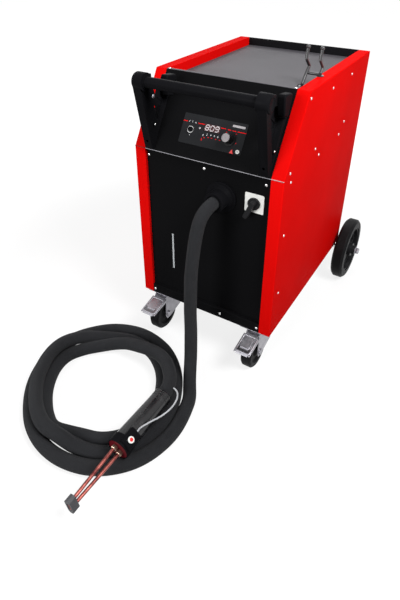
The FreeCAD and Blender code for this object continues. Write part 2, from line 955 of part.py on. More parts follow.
def make_handle():
    bar_y = front - size.bar_forward
    bar_z = deck + size.bar_height
    collar_end = size.cheek_inner - size.cheek_collar_length
    bar = cylinder("handle_bar", (-collar_end, bar_y, bar_z), ALONG_X, size.bar_radius, collar_end * 2)
    keep(bar)
    head = size.cheek_head_radius
    toe = (front - size.cheek_toe_forward, knee + size.cheek_toe_rise)
    brow = (bar_y - head, bar_z)
    lean = (toe[0] - brow[0]) / (brow[1] - toe[1])
    corner = (brow[0] - lean * head, bar_z + head)
    heel_z = bar_z - size.cheek_heel_drop
    outline = [
        (front, knee), toe, corner, (front + size.cheek_lug_back, bar_z + size.cheek_lug_rise),
        (slope_y(heel_z, 0), heel_z),
    ]
    roof = bar_z - head
    foot_step = size.cheek_foot_rim * slope / rise
    recess_foot = toe[1] + (bar_z - toe[1]) * CHEEK_RIM_SHARE
    recess_top = bar_z - (bar_z - knee) * CHEEK_ROOF_SHARE
    recess_toe = (toe[0] + size.cheek_rim - lean * size.cheek_rim, recess_foot)
    recess_brow = (brow[0] + size.cheek_rim + lean * head, recess_top)
    recess_heel = (slope_y(recess_top, 0) - foot_step - size.cheek_foot_rim, recess_top)
    recess = [
        recess_toe,
        recess_brow,
        (bar_y + head, roof + size.cheek_foot_rim),
        (front + size.cheek_lug_back - size.cheek_rim, roof + size.cheek_foot_rim / 2),
        recess_heel,
    ]
    window = []
    for back, up in WINDOW_SHARES:
        spot = []
        for toe_at, heel_at, brow_at in zip(recess_toe, recess_heel, recess_brow):
            spot.append(toe_at + (heel_at - toe_at) * back + (brow_at - toe_at) * up)
        window.append(tuple(spot))
    for name, side in SIDES:
        cheek = Piece("handle_cheek_" + name)
        span = across(side, size.cheek_inner, size.cheek_outer)
        cheek.pad("YZ", [outline], *span)
        cheek.round_corners("X", [corner], head)
        cheek.pad("YZ", [Circle(bar_y, bar_z, size.cheek_collar_radius)],
                  *across(side, collar_end, size.cheek_inner))
        web = size.cheek_inner + size.cheek_web
        cheek.cut("YZ", [recess], *across(side, web, size.cheek_outer + over))
        cheek.cut("YZ", [window], *across(side, size.cheek_inner - over, web + over))
        cheek.round_corners("X", window, (recess_top - recess_foot) * WINDOW_CORNER_SHARE)
        middle = side * (size.cheek_inner + size.cheek_outer) / 2
        hole = Circle(middle, knee + size.cheek_hole_rise, size.cheek_hole_radius)
        cheek.cut("XZ", [hole], front - size.cheek_hole_depth - over, front)
        keep(cheek.body)


# Front panel fittings

def make_front_fittings():
    outlet = Piece("hose_outlet")
    flange = size.outlet_flange_gauge
    neck = flange + size.outlet_shoulder_length
    reach = size.outlet_reach
    bore = size.hose_radius + size.panel_gap
    tail = skin + size.outlet_tail
    outline = [
        (0, tail),
        (size.outlet_hole_radius - size.panel_gap, tail),
        (size.outlet_hole_radius - size.panel_gap, 0),
        (size.outlet_flange_radius, 0),
        (size.outlet_flange_radius, -flange),
        (size.outlet_shoulder_radius, -flange),
        (size.outlet_collar_radius, -neck),
        (size.outlet_collar_radius, -reach),
        (bore, -reach),
        (bore, size.outlet_seat - reach),
        (0, size.outlet_seat - reach),
    ]
    outlet.turn("Revolution", outline)
    place(outlet.body, (size.outlet_x, face, deck + size.outlet_height))
    keep(outlet.body)

    switch_z = deck + size.switch_height
    spindle_bore = size.spindle_radius + size.running_gap
    plate_face = face - size.switch_plate_gauge
    plate = Piece("switch_plate")
    reach = size.switch_plate_side / 2
    corners = rectangle(size.switch_x - reach, size.switch_x + reach, switch_z - reach, switch_z + reach)
    plate.pad("XZ", [corners], plate_face, face)
    plate.round_corners("Y", corners, size.switch_plate_corner)
    plate.cut("XZ", [Circle(size.switch_x, switch_z, size.spindle_radius + size.panel_gap)],
              plate_face - over, face + over)
    keep(plate.body)

    case = Piece("switch_body")
    reach = size.switch_body_side / 2
    square = rectangle(size.switch_x - reach, size.switch_x + reach, switch_z - reach, switch_z + reach)
    behind = face + skin
    case.pad("XZ", [square], behind, behind + size.switch_body_depth)
    case.cut("XZ", [Circle(size.switch_x, switch_z, spindle_bore)], behind - over,
             behind + size.switch_spindle_depth)
    keep(case.body)

    knob = Piece("main_switch_knob")
    seat = -size.panel_gap
    knob_face = seat - size.switch_knob_base
    crown = knob_face - size.switch_lever_rise
    knob.pad("XZ", [Circle(0, 0, size.spindle_radius)], seat, size.switch_plate_gauge + skin + over * 3)
    knob.pad("XZ", [Circle(0, 0, size.switch_knob_radius)], knob_face, seat)
    width = size.switch_lever_width / 2
    corners = rectangle(-width, width, -size.switch_lever_reach, size.switch_lever_back)
    knob.pad("XZ", [corners], crown, knob_face)
    knob.round_corners("Y", corners, size.lever_corner)
    place(knob.body, (size.switch_x, plate_face, switch_z), Rotation(Y_AXIS, size.switch_pointer_angle.value))
    knob.body.setExpression("Placement.Rotation.Angle", size.switch_pointer_angle.text)
    keep(knob.body)

    radius = size.sight_tube_radius
    tube_y = face + skin + radius + size.panel_gap
    low = deck + size.sight_bottom - size.sight_elbow_height
    high = deck + size.sight_top + size.sight_elbow_height
    tank_y = front + size.tank_back
    glass = cylinder("sight_glass", (-size.sight_x, tube_y, low), NO_TURN, radius, high - low)
    elbows = []
    for name, level in (("sight_foot", low + radius), ("sight_head", high - radius)):
        elbows.append(cylinder(name, (-size.sight_x, tube_y, level), ALONG_Y, radius, tank_y - tube_y))
    keep(fuse("sight_tube", [glass] + elbows))


# Inside the cabinet, whose spare width is shared out beside the tank and the inverter

TANK_SIDE_SHARE = 0.35
MODULE_SIDE_SHARE = 0.2


def make_inside():
    floor = deck + skin
    spare = wall_in * 2 - size.tank_width - size.module_width - size.fin_height
    tank = Piece("coolant_tank")
    left = spare * TANK_SIDE_SHARE - wall_in
    back = front + size.tank_back
    corners = rectangle(left, left + size.tank_width, back, back + size.tank_depth)
    tank.pad("XY", [corners], floor, floor + size.tank_height)
    tank.round_corners("Z", corners, size.tank_corner)
    neck = Circle(left + size.tank_width / 2, back + size.tank_depth / 2, size.neck_radius)
    tank.pad("XY", [neck], floor + size.tank_height, floor + size.tank_height + size.neck_height)
    keep(tank.body)

    pump_x = left + size.tank_width / 2
    pump_y = back + size.tank_depth + size.pump_gap + size.pump_head_length
    pump_z = floor + size.pump_foot + size.pump_radius
    foot = block("pump_foot", (pump_x - size.pump_width / 2, pump_y, floor),
                 (size.pump_width, size.pump_length, size.pump_foot))
    motor = cylinder("pump_motor", (pump_x, pump_y, pump_z), ALONG_Y, size.pump_radius, size.pump_length)
    head = cylinder("pump_head", (pump_x, pump_y - size.pump_head_length, pump_z), ALONG_Y,
                    size.pump_head_radius, size.pump_head_length)
    saddle = block("pump_saddle", (pump_x - size.pump_radius / 2, pump_y, floor),
                   (size.pump_radius, size.pump_length, size.pump_foot + size.pump_radius))
    keep(fuse("coolant_pump", [foot, saddle, motor, head]))

    module = Piece("inverter_module")
    back = front + size.module_back
    right = wall_in - spare * MODULE_SIDE_SHARE - size.fin_height
    left = right - size.module_width
    module.pad("XY", [rectangle(left, right, back, back + size.module_depth)], floor,
               floor + size.module_height)
    fin_base = floor + size.fin_gauge
    fin = rectangle(back, back + size.module_depth, fin_base, fin_base + size.fin_gauge)
    pad = module.pad("YZ", [fin], right - size.fin_gauge, right + size.fin_height)
    module.row(pad, (pad.Profile[0], ["V_Axis"]), size.fin_pitch, size.fin_count)
    keep(module.body)

    shelf = floor + size.module_height
    core_x = left + size.module_width / 2
    core_y = back + size.module_depth / 2
    window_width = size.core_width - size.core_limb * 2
    core = Piece("output_transformer")
    half_core = size.core_width / 2
    outer = rectangle(core_x - half_core, core_x + half_core, shelf, shelf + size.core_height)
    core.pad("XZ", [outer], core_y - size.core_depth / 2, core_y + size.core_depth / 2)
    inner = rectangle(core_x - window_width / 2, core_x + window_width / 2, shelf + size.core_limb,
                      shelf + size.core_height - size.core_limb)
    core.cut("XZ", [inner], core_y - size.core_depth, core_y + size.core_depth)
    core.pad("YZ", [Circle(core_y, shelf + size.core_height / 2, size.winding_radius)],
             core_x - half_core - size.core_limb, core_x - window_width / 2)
    keep(core.body)

    fan_z = deck + size.grille_height
    reach = size.fan_side / 2
    fan_back = rear - skin
    fan_front = fan_back - size.fan_depth
    frame = Piece("fan_frame")
    frame.pad("XZ", [rectangle(-reach, reach, -reach, reach), Circle(0, 0, size.fan_bore_radius)],
              fan_front, fan_back, (0, fan_z))
    motor_face = fan_back - size.fan_motor_length
    frame.pad("XZ", [Circle(0, fan_z, size.fan_hub_radius)], motor_face, fan_back)
    strut = rectangle(-size.fan_strut_width / 2, size.fan_strut_width / 2, size.fan_hub_radius - over,
                      size.fan_bore_radius + over)
    pad = frame.pad("XZ", [strut], fan_back - size.fan_strut_width, fan_back, (0, fan_z))
    frame.ring(pad, (pad.Profile[0], ["N_Axis"]), sized(4))
    pin_front = fan_front + over + over + size.panel_gap
    frame.pad("XZ", [Circle(0, fan_z, size.fan_pin_radius)], pin_front, motor_face)
    foot_top = fan_z - reach
    frame.pad("XY", [rectangle(-reach, reach, fan_front, fan_back)], floor, foot_top)
    keep(frame.body)

    make_rotor(fan_front, motor_face, fan_z)

    radiator = Piece("radiator")
    reach = size.radiator_side / 2
    near = fan_front - size.radiator_depth
    wall = size.radiator_wall
    radiator.pad("XZ", [rectangle(-reach, reach, fan_z - reach, fan_z + reach),
                        rectangle(wall - reach, reach - wall, fan_z - reach + wall, fan_z + reach - wall)],
                 near, fan_front)
    fin_low = fan_z - reach + wall + size.radiator_fin_pitch / 2
    fin = rectangle(-reach + wall / 2, reach - wall / 2, fin_low, fin_low + size.radiator_fin_gauge)
    pad = radiator.pad("XZ", [fin], near + over, fan_front - over)
    radiator.row(pad, (pad.Profile[0], ["V_Axis"]), size.radiator_fin_pitch, size.radiator_fin_count)
    radiator.pad("XY", [rectangle(-reach, reach, near, fan_front)], floor, fan_z - reach)
    keep(radiator.body)

    gland = Piece("mains_gland")
    bore = size.gland_bore
    barrel = size.gland_radius
    outline = [
        (bore, -skin - size.gland_nut_gauge),
        (barrel, -skin - size.gland_nut_gauge),
        (barrel, size.gland_nut_gauge),
        (size.gland_nut_radius - over / 2, size.gland_nut_gauge),
        (size.gland_nut_radius - over / 2, size.gland_nut_gauge + size.gland_dome_length / 2),
        (bore + over / 2, size.gland_nut_gauge + size.gland_dome_length),
        (bore, size.gland_nut_gauge + size.gland_dome_length),
    ]
    gland.turn("Revolution", outline)
    hexagon = []
    for corner in range(6):
        angle = sized(60 * corner)
        hexagon.append((cosine(angle) * size.gland_nut_radius, sine(angle) * size.gland_nut_radius))
    hexagon_bore = Circle(0, 0, bore)
    gland.pad("XZ", [hexagon, hexagon_bore], 0, size.gland_nut_gauge)
    gland.pad("XZ", [hexagon, hexagon_bore], -skin - size.gland_nut_gauge, -skin)
    place(gland.body, (half - size.gland_side, rear, deck + size.gland_height))
    keep(gland.body)


def make_rotor(fan_front, motor_face, fan_z):
    """The fan's hub and its twisted blades, drawn about its own axis."""
    rotor = Piece("fan_rotor")
    hub = size.fan_hub_radius - size.panel_gap
    length = motor_face - size.panel_gap - fan_front - over
    bore = size.fan_pin_radius + size.running_gap
    cover = over
    outline = [
        (0, 0), (hub, 0), (hub, length), (bore, length), (bore, cover), (0, cover),
    ]
    rotor.turn("Revolution", outline)
    sweep = size.fan_bore_radius - size.fan_tip_gap
    tip_half = (size.blade_tip_chord + size.blade_gauge) / 2
    tip = root(sweep * sweep - tip_half * tip_half)
    root_profile = rotor.sketch("YZ", hub - over, [blade_section(length, size.blade_root_chord,
                                                                 size.blade_root_lean)])
    tip_profile = rotor.sketch("YZ", tip, [blade_section(length, size.blade_tip_chord, size.blade_tip_lean)])
    loft = rotor.feature("AdditiveLoft", root_profile)
    loft.Sections = [tip_profile]
    loft.Ruled = True
    rotor.ring(loft, (rotor.origin("Y_Axis"), [""]), size.blade_count)
    place(rotor.body, (0, fan_front + over, fan_z))
    keep(rotor.body)


def blade_section(length, chord, lean):
    """A blade's slanted section, seen along the blade: y runs along the axis."""
    middle = length / 2
    thick = size.blade_gauge / 2
    return [
        (middle - lean, -chord / 2 - thick),
        (middle - lean, -chord / 2 + thick),
        (middle + lean, chord / 2 + thick),
        (middle + lean, chord / 2 - thick),
    ]


# Rear wheels

def make_rear_wheels():
    radius = size.wheel_radius
    wheel_x = half + size.wheel_offset
    axle_end = half + size.axle_reach
    cap_end = half + size.cap_reach
    axle = cylinder("rear_axle", (-axle_end, size.wheel_y, radius), ALONG_X, size.axle_radius, axle_end * 2)
    keep(axle)

    brackets = []
    for name, side in SIDES:
        bracket = Piece("axle_bracket_" + name)
        boss = size.bracket_boss_radius
        back = rear - skin
        near = back - size.bracket_length
        plate = [
            (near, deck), (back, deck), (size.wheel_y + boss / 2, radius),
            (size.wheel_y, radius - boss / 2), (size.wheel_y - boss / 2, radius - boss / 2),
        ]
        inner = half - size.bracket_inset
        outer = inner + size.bracket_gauge
        bracket.pad("YZ", [plate], *across(side, inner, outer))
        bracket.pad("YZ", [Circle(size.wheel_y, radius, boss)], *across(side, inner - over, outer))
        shelf = across(side, inner - size.bracket_flange, outer)
        bracket.pad("XY", [rectangle(shelf[0], shelf[1], near, back)], deck - size.bracket_gauge, deck)
        bracket.cut("YZ", [Circle(size.wheel_y, radius, size.axle_radius)],
                    *across(side, inner - over - over, outer + over))
        brackets.append(bracket.body)
    joined = doc.addObject("Part::Compound", "axle_brackets")
    joined.Links = brackets
    keep(joined)

    caps = []
    hub_face = wheel_x + size.hub_width / 2 + size.panel_gap
    for name, side in SIDES:
        span = across(side, hub_face, cap_end)
        shell = cylinder("cap_shell_" + name, (span[0], size.wheel_y, radius), ALONG_X, size.cap_radius,
                         cap_end - hub_face)
        core = across(side, hub_face - over, axle_end)
        bore = cylinder("cap_bore_" + name, (core[0], size.wheel_y, radius), ALONG_X, size.axle_radius,
                        axle_end - hub_face + over)
        caps.append(carve("cap_" + name, shell, bore))
    joined = doc.addObject("Part::Compound", "axle_caps")
    joined.Links = caps
    keep(joined)

    for name, side in SIDES:
        make_rear_wheel(name, (side * wheel_x, size.wheel_y, radius))


def make_rear_wheel(name, middle):
    """A spoked hub and its tyre, drawn about the X axis."""
    seat = size.wheel_radius - size.tyre_depth
    bore = size.axle_radius + size.running_gap
    boss = size.hub_boss_radius
    wide = size.hub_width / 2
    web = size.hub_web_gauge / 2
    rim = size.hub_rim_width / 2
    well = seat - size.hub_rim_gauge
    hub = Piece("rear_hub_" + name)
    outline = [
        (-wide, bore), (wide, bore), (wide, boss), (web, boss), (web, well), (rim, well),
        (rim, seat), (-rim, seat), (-rim, well), (-web, well), (-web, boss), (-wide, boss),
    ]
    hub.turn("Revolution", outline, "H_Axis")
    opening_outline = [
        (-size.spoke_half_inner, size.spoke_inner), (size.spoke_half_inner, size.spoke_inner),
        (size.spoke_half_outer, size.spoke_outer), (-size.spoke_half_outer, size.spoke_outer),
    ]
    cut = hub.cut("YZ", [opening_outline], -web - over, web + over)
    hub.round_corners("X", opening_outline, size.spoke_corner)
    pattern_base = [cut, hub.body.Tip]
    pattern = hub.body.newObject("PartDesign::PolarPattern", "spokes_" + name)
    pattern.Originals = pattern_base
    pattern.Axis = (hub.origin("X_Axis"), [""])
    pattern.setExpression("Occurrences", size.spoke_count.text)
    hub.body.Tip = pattern
    place(hub.body, middle)
    keep(hub.body)

    tyre = Piece("rear_tyre_" + name)
    wide = size.tyre_width / 2
    shoulder = size.tyre_shoulder
    outline = [
        (-wide, seat), (wide, seat), (wide, size.wheel_radius - shoulder),
        (wide - shoulder, size.wheel_radius), (shoulder - wide, size.wheel_radius),
        (-wide, size.wheel_radius - shoulder),
    ]
    tyre.turn("Revolution", outline, "H_Axis")
    place(tyre.body, middle)
    keep(tyre.body)


# Braked casters

def make_casters():
    for name, side in SIDES:
        make_caster(name, side * (half - size.caster_inset))


def make_caster(name, middle_x):
    """A swivelling caster: plate, fork with its bolt, wheel and brake pedal."""
    swivel_y = size.caster_swivel_y
    plate_low = deck - size.caster_plate_gauge
    race_low = plate_low - size.race_depth
    crown_top = race_low - size.fork_gap
    crown_low = crown_top - size.fork_crown_gauge
    wheel_y = swivel_y - size.caster_trail
    wheel_z = size.caster_radius
    leg_inner = size.caster_width / 2 + size.caster_side_gap
    leg_outer = leg_inner + size.fork_gauge

    plate = Piece("caster_plate_" + name)
    wide = size.caster_plate_width / 2
    length = size.caster_plate_length / 2
    corners = rectangle(middle_x - wide, middle_x + wide, swivel_y - length, swivel_y + length)
    plate.pad("XY", [corners], plate_low, deck)
    plate.round_corners("Z", corners, size.caster_plate_corner)
    race = Circle(middle_x, swivel_y, size.race_radius)
    plate.pad("XY", [race], race_low, plate_low)
    plate.pad("XY", [Circle(middle_x, swivel_y, size.kingpin_radius)], crown_low, race_low)
    keep(plate.body)

    fork = Piece("caster_fork_" + name)
    eye = Circle(middle_x, swivel_y, size.kingpin_radius + size.running_gap)
    fork.pad("XY", [Circle(middle_x, swivel_y, size.fork_crown_radius), eye], crown_low, crown_top)
    pin_y = swivel_y - size.pedal_pin_forward
    pin_z = size.pedal_pin_height
    tip = size.fork_tip_radius
    leg = [
        (swivel_y - size.fork_crown_radius, crown_top),
        (pin_y - tip / 2, pin_z + size.pedal_pin_radius),
        (pin_y - tip / 2, pin_z - size.pedal_pin_radius),
        (wheel_y - tip, wheel_z),
        (wheel_y - tip / 2, wheel_z - tip),
        (wheel_y + tip, wheel_z - tip),
        (swivel_y + size.caster_trail, wheel_z),
        (swivel_y + size.fork_crown_radius, crown_low),
        (swivel_y + size.fork_crown_radius, crown_top),
    ]
    for leg_side in (-1, 1):
        span = across(leg_side, leg_inner, leg_outer)
        fork.pad("YZ", [leg], middle_x + span[0], middle_x + span[1])
    bridge = rectangle(middle_x - leg_outer, middle_x + leg_outer, swivel_y - size.fork_crown_radius / 2,
                       swivel_y + size.fork_crown_radius / 2)
    fork.pad("XY", [bridge, eye], crown_low, crown_top)
    bolt = Circle(wheel_y, wheel_z, size.caster_bolt_radius)
    fork.pad("YZ", [bolt], middle_x - leg_inner, middle_x + leg_inner)
    head = Circle(wheel_y, wheel_z, size.fork_bolt_head)
    for leg_side in (-1, 1):
        span = across(leg_side, leg_outer, leg_outer + size.fork_bolt_head_gauge)
        fork.pad("YZ", [head], middle_x + span[0], middle_x + span[1])
    pin = Circle(pin_y, pin_z, size.pedal_pin_radius)
    fork.pad("YZ", [pin], middle_x - leg_inner, middle_x + leg_inner)
    keep(fork.body)

    make_caster_wheel(name, (middle_x, wheel_y, wheel_z))
    make_pedal(name, (middle_x, pin_y, pin_z), leg_inner)


def make_caster_wheel(name, middle):
    """A hard wheel with dished sides."""
    wheel = Piece("caster_wheel_" + name)
    wide = size.caster_width / 2
    bore = size.caster_bolt_radius + size.running_gap
    edge = size.caster_edge
    dish = wide - size.caster_hollow_depth
    half_outline = [
        (wide, bore), (wide, size.caster_boss_radius), (dish, size.caster_boss_radius + edge),
        (dish, size.caster_hollow_radius - edge), (wide, size.caster_hollow_radius),
        (wide, size.caster_radius - edge), (wide - edge, size.caster_radius),
    ]
    outline = half_outline + [(-side_at, up_at) for side_at, up_at in reversed(half_outline)]
    wheel.turn("Revolution", outline, "H_Axis")
    place(wheel.body, middle)
    keep(wheel.body)


def make_pedal(name, pivot, leg_inner):
    """A pressed pedal that hooks over the fork's cross pin, drawn about the pin."""
    pedal = Piece("brake_pedal_" + name)
    grip = size.pedal_pin_radius + size.running_gap
    barrel = grip + size.pedal_gauge
    drop = size.pedal_drop / size.pedal_length
    gauge = size.pedal_gauge
    root_y = -barrel
    nose_y = -size.pedal_length
    narrow = leg_inner - size.panel_gap
    wide = size.pedal_width / 2
    skirt_start = root_y - size.fork_tip_radius / 2
    top_profile = [
        (grip, barrel), (root_y, barrel), (nose_y, barrel + drop * nose_y),
        (nose_y - gauge, barrel + drop * nose_y - size.pedal_skirt / 2),
        (nose_y, barrel + drop * nose_y - size.pedal_skirt / 2), (nose_y + gauge, barrel + drop * nose_y - gauge),
        (root_y, barrel - gauge), (grip, barrel - gauge),
    ]
    pedal.pad("YZ", [top_profile], -narrow, narrow)
    for side in (-1, 1):
        wing = [
            (skirt_start, barrel + drop * skirt_start), (nose_y, barrel + drop * nose_y),
            (nose_y, barrel + drop * nose_y - gauge), (skirt_start, barrel + drop * skirt_start - gauge),
        ]
        pedal.pad("YZ", [wing], *across(side, narrow - over, wide))
        skirt = [
            (skirt_start, barrel + drop * skirt_start), (nose_y, barrel + drop * nose_y),
            (nose_y, barrel + drop * nose_y - gauge * 2),
            (skirt_start, barrel + drop * skirt_start - size.pedal_skirt),
        ]
        pedal.pad("YZ", [skirt], *across(side, wide - gauge, wide))
    panel_back = (root_y + nose_y + size.pedal_panel_length) / 2
    panel_front = panel_back - size.pedal_panel_length
    panel = [
        (panel_back, barrel + drop * panel_back), (panel_front, barrel + drop * panel_front),
        (panel_front, barrel + drop * panel_front + size.pedal_panel_rise),
        (panel_back, barrel + drop * panel_back + size.pedal_panel_rise),
    ]
    pedal.pad("YZ", [panel], -size.pedal_panel_width / 2, size.pedal_panel_width / 2)
    pedal.pad("YZ", [Circle(0, 0, barrel)], -narrow, narrow)
    pedal.cut("YZ", [Circle(0, 0, grip)], -wide - over, wide + over)
    place(pedal.body, pivot)
    keep(pedal.body)


# Hose

DROP_ROUTE = [
    (44, -82, 498), (41, -100, 493), (36, -115, 478), (33, -125, 455), (31, -136, 415),
    (29, -149, 345), (28, -153, 245), (31, -156, 155), (35, -163, 97), (44, -180, 56),
    (59, -206, 30),
]
RADIUS_SHARE = 0.45


def drop_points():
    """The hose from its outlet down to the start of the coil on the floor."""
    seat = vector(size.outlet_x, face - size.outlet_reach + size.outlet_seat, deck + size.outlet_height)
    start, heading = coil_start()
    run_in = start - heading * (float(size.hose_radius) * 1.5)
    return [seat] + [Vector(*spot) for spot in DROP_ROUTE] + [run_in, start]


def bent_path(points):
    """Straight runs joined by tangent arcs, and the radii of the arcs."""
    edges = []
    radii = []
    last = points[0]
    for index in range(1, len(points) - 1):
        before = points[index] - points[index - 1]
        after = points[index + 1] - points[index]
        half_turn = before.getAngle(after) / 2
        reach = RADIUS_SHARE * min(before.Length, after.Length)
        radii.append(reach / math.tan(half_turn))
        inward = Vector(before).normalize()
        outward = Vector(after).normalize()
        start = points[index] - inward * reach
        end = points[index] + outward * reach
        toward = (outward - inward).normalize()
        bulge = radii[-1] * (1 / math.cos(half_turn) - 1)
        edges.append(Part.LineSegment(last, start).toShape())
        edges.append(Part.Arc(start, points[index] + toward * bulge, end).toShape())
        last = end
    edges.append(Part.LineSegment(last, points[-1]).toShape())
    return Part.Wire(edges), radii


def tube(path, radius, corners=0):
    """A round bar swept along a path, whose corners are mitred where corners is 1."""
    first = path.OrderedEdges[0]
    start = first.valueAt(first.FirstParameter)
    heading = first.tangentAt(first.FirstParameter)
    section = Part.Wire([Part.Circle(start, heading, float(radius)).toShape()])
    return path.makePipeShell([section], True, False, corners)


def hose_section(start, heading):
    """The hose's outline, a regular polygon whose corners lie on its radius."""
    side = heading.cross(Vector(0, 0, 1)).normalize()
    lift = side.cross(heading)
    corners = []
    for index in range(HOSE_SIDES + 1):
        angle = math.pi * (2 * (index % HOSE_SIDES) + 1) / HOSE_SIDES
        corners.append(start + (side * math.sin(angle) + lift * math.cos(angle)) * float(size.hose_radius))
    return Part.makePolygon(corners)


def hose_tube(path):
    """The hose swept along a path, and what its section times its length gives."""
    first = path.OrderedEdges[0]
    section = hose_section(first.valueAt(first.FirstParameter), first.tangentAt(first.FirstParameter))
    expected = Part.Face(section).Area * path.Length
    return path.makePipeShell([section], True, False), expected


def solid_node(name, shape):
    """A piece whose shape is made here from the sheet's sizes."""
    node = doc.addObject("Part::Feature", name)
    node.Shape = shape
    keep(node)


def smooth_step(value, start, end):
    """0 before start, 1 after end, and a smooth rise between them."""
    share = min(1.0, max(0.0, (value - start) / (end - start)))
    return share * share * (3 - 2 * share)


# Bearings in degrees and turns at which the coil's middle turn climbs onto the first
# one and leaves it, and its end rises and peels off to the torch
COIL_START_ANGLE = 18.0
COIL_TURNS = 2.96
STACK_CLOSES = (84, 116)
STACK_OPENS = (175, 225)
LIFT_STARTS = (68, 100)
LIFT_ENDS = (185, 235)
END_RISES = (2.62, 2.88)
END_PEELS = (2.78, 2.95)
HOSE_SIDES = 12
STEPS_PER_TURN = 12


def coil_point(turns):
    """Centre of the hose after some turns, clockwise from where the drop joins."""
    bearing = COIL_START_ANGLE - 360 * turns
    around = (COIL_START_ANGLE - bearing) % 360
    angle = math.radians(bearing)
    shift = float(size.coil_shift) * math.cos(angle - math.radians(float(size.coil_shift_angle)))
    oval = float(size.coil_oval) * math.cos(2 * (angle - math.radians(float(size.coil_oval_angle))))
    stacked = smooth_step(around, *STACK_CLOSES) * (1 - smooth_step(around, *STACK_OPENS))
    pitch = float(size.coil_pitch) + (float(size.coil_stack_pitch) - float(size.coil_pitch)) * stacked
    peel = float(size.coil_end_peel) * smooth_step(turns, *END_PEELS)
    reach = float(size.coil_mean_radius) + shift + oval - pitch * turns + peel
    height = float(size.hose_radius + size.hose_floor_gap)
    if 1 < turns < 2:
        lifted = smooth_step(around, *LIFT_STARTS) * (1 - smooth_step(around, *LIFT_ENDS))
        height += float(size.coil_stack_rise) * lifted
    end_rise = size.torch_height - size.hose_radius - size.hose_floor_gap
    height += float(end_rise) * smooth_step(turns, *END_RISES)
    middle = (-float(size.coil_x), -float(size.coil_forward))
    return Vector(middle[0] + reach * math.cos(angle), middle[1] + reach * math.sin(angle), height)


def coil_heading(turns):
    """Direction of the hose at a point of the coil."""
    step = 1e-3
    return (coil_point(turns + step) - coil_point(turns - step)).normalize()


def coil_start():
    """Where the drop meets the coil, and the way that the hose runs there."""
    heading = coil_heading(0)
    heading.z = 0
    return coil_point(0), heading.normalize()


def double_arc(start, start_way, end, end_way):
    """Two arcs that leave and arrive in the given directions."""
    chord = end - start
    ways = start_way + end_way
    spread = 2 * (1 - start_way.dot(end_way))
    along = chord.dot(ways)
    reach = (math.sqrt(along * along + spread * chord.dot(chord)) - along) / spread
    meeting = (start + end + (start_way - end_way) * reach) / 2
    arcs = []
    for first, way, last in ((start, start_way, meeting), (end, -end_way, meeting)):
        span = last - first
        side = span - way * span.dot(way)
        radius = span.dot(span) / (2 * side.Length)
        centre = first + side.normalize() * radius
        middle = centre + ((first + last) / 2 - centre).normalize() * radius
        ends = (first, middle, last) if first == start else (last, middle, first)
        arcs.append(Part.Arc(*ends).toShape())
    return arcs


def make_hose():
    path, radii = bent_path(drop_points())
    shape, expected = hose_tube(path)
    print("drop radii", [round(radius) for radius in radii])
    print("drop volume over section times length", round(shape.Volume / expected, 4))
    solid_node("hose_drop", shape)

    steps = round(COIL_TURNS * STEPS_PER_TURN)
    marks = [COIL_TURNS * index / steps for index in range(steps + 1)]
    edges = []
    start, start_way = coil_start()
    lead = float(size.hose_radius) * 2
    for index in range(steps):
        end = coil_point(marks[index + 1])
        end_way = coil_heading(marks[index + 1])
        if index == steps - 1:
            end = torch_tail() + Vector(0, lead, 0)
            end_way = Vector(0, -1, 0)
        edges += double_arc(start, start_way, end, end_way)
        start, start_way = end, end_way
    edges.append(Part.LineSegment(start, torch_tail()).toShape())
    path = Part.Wire(edges)
    shape, expected = hose_tube(path)
    print("coil length", round(path.Length), "volume share", round(shape.Volume / expected, 4))
    print("least gap of the coil to itself", round(self_gap(path), 2))
    solid_node("hose_coil", shape)


def self_gap(path):
    """Least distance between two stretches of the tube, surface to surface."""
    spacing = float(size.hose_radius) / 4
    points = path.discretize(Distance=spacing)
    skip = int(float(size.hose_radius) * 6 / spacing)
    least = math.inf
    for index in range(0, len(points), 2):
        for other in range(index + skip, len(points), 2):
            least = min(least, points[index].distanceToPoint(points[other]))
    return least - 2 * float(size.hose_radius)


# Torch, whose pieces are drawn about its own axis, from its tail towards -Y, and then
# rolled about that axis

LEAD_ROUTE = [
    (66, -388, 84), (76, -362, 80), (81.5, -338, 77.5), (82.5, -314, 76), (78, -292, 75.5),
    (68.5, -278, 75.2), (60, -273.5, 75),
]


def torch_tail():
    """The middle of the torch's back end."""
    return vector(size.torch_x, -size.torch_tail_y, size.torch_height)


def on_torch(piece, roll):
    """Set a piece that is drawn about the Y axis on the torch, rolled by an angle."""
    place(piece.body, (size.torch_x, -size.torch_tail_y, size.torch_height), Rotation(Y_AXIS, roll.value))
    piece.body.setExpression("Placement.Rotation.Angle", roll.text)
    keep(piece.body)


def rolled(out, back, up, roll):
    """A place on the torch, rolled about its axis: out and up from it and back from its tail."""
    return torch_tail() + Rotation(Y_AXIS, roll.value).multVec(vector(out, back, up))


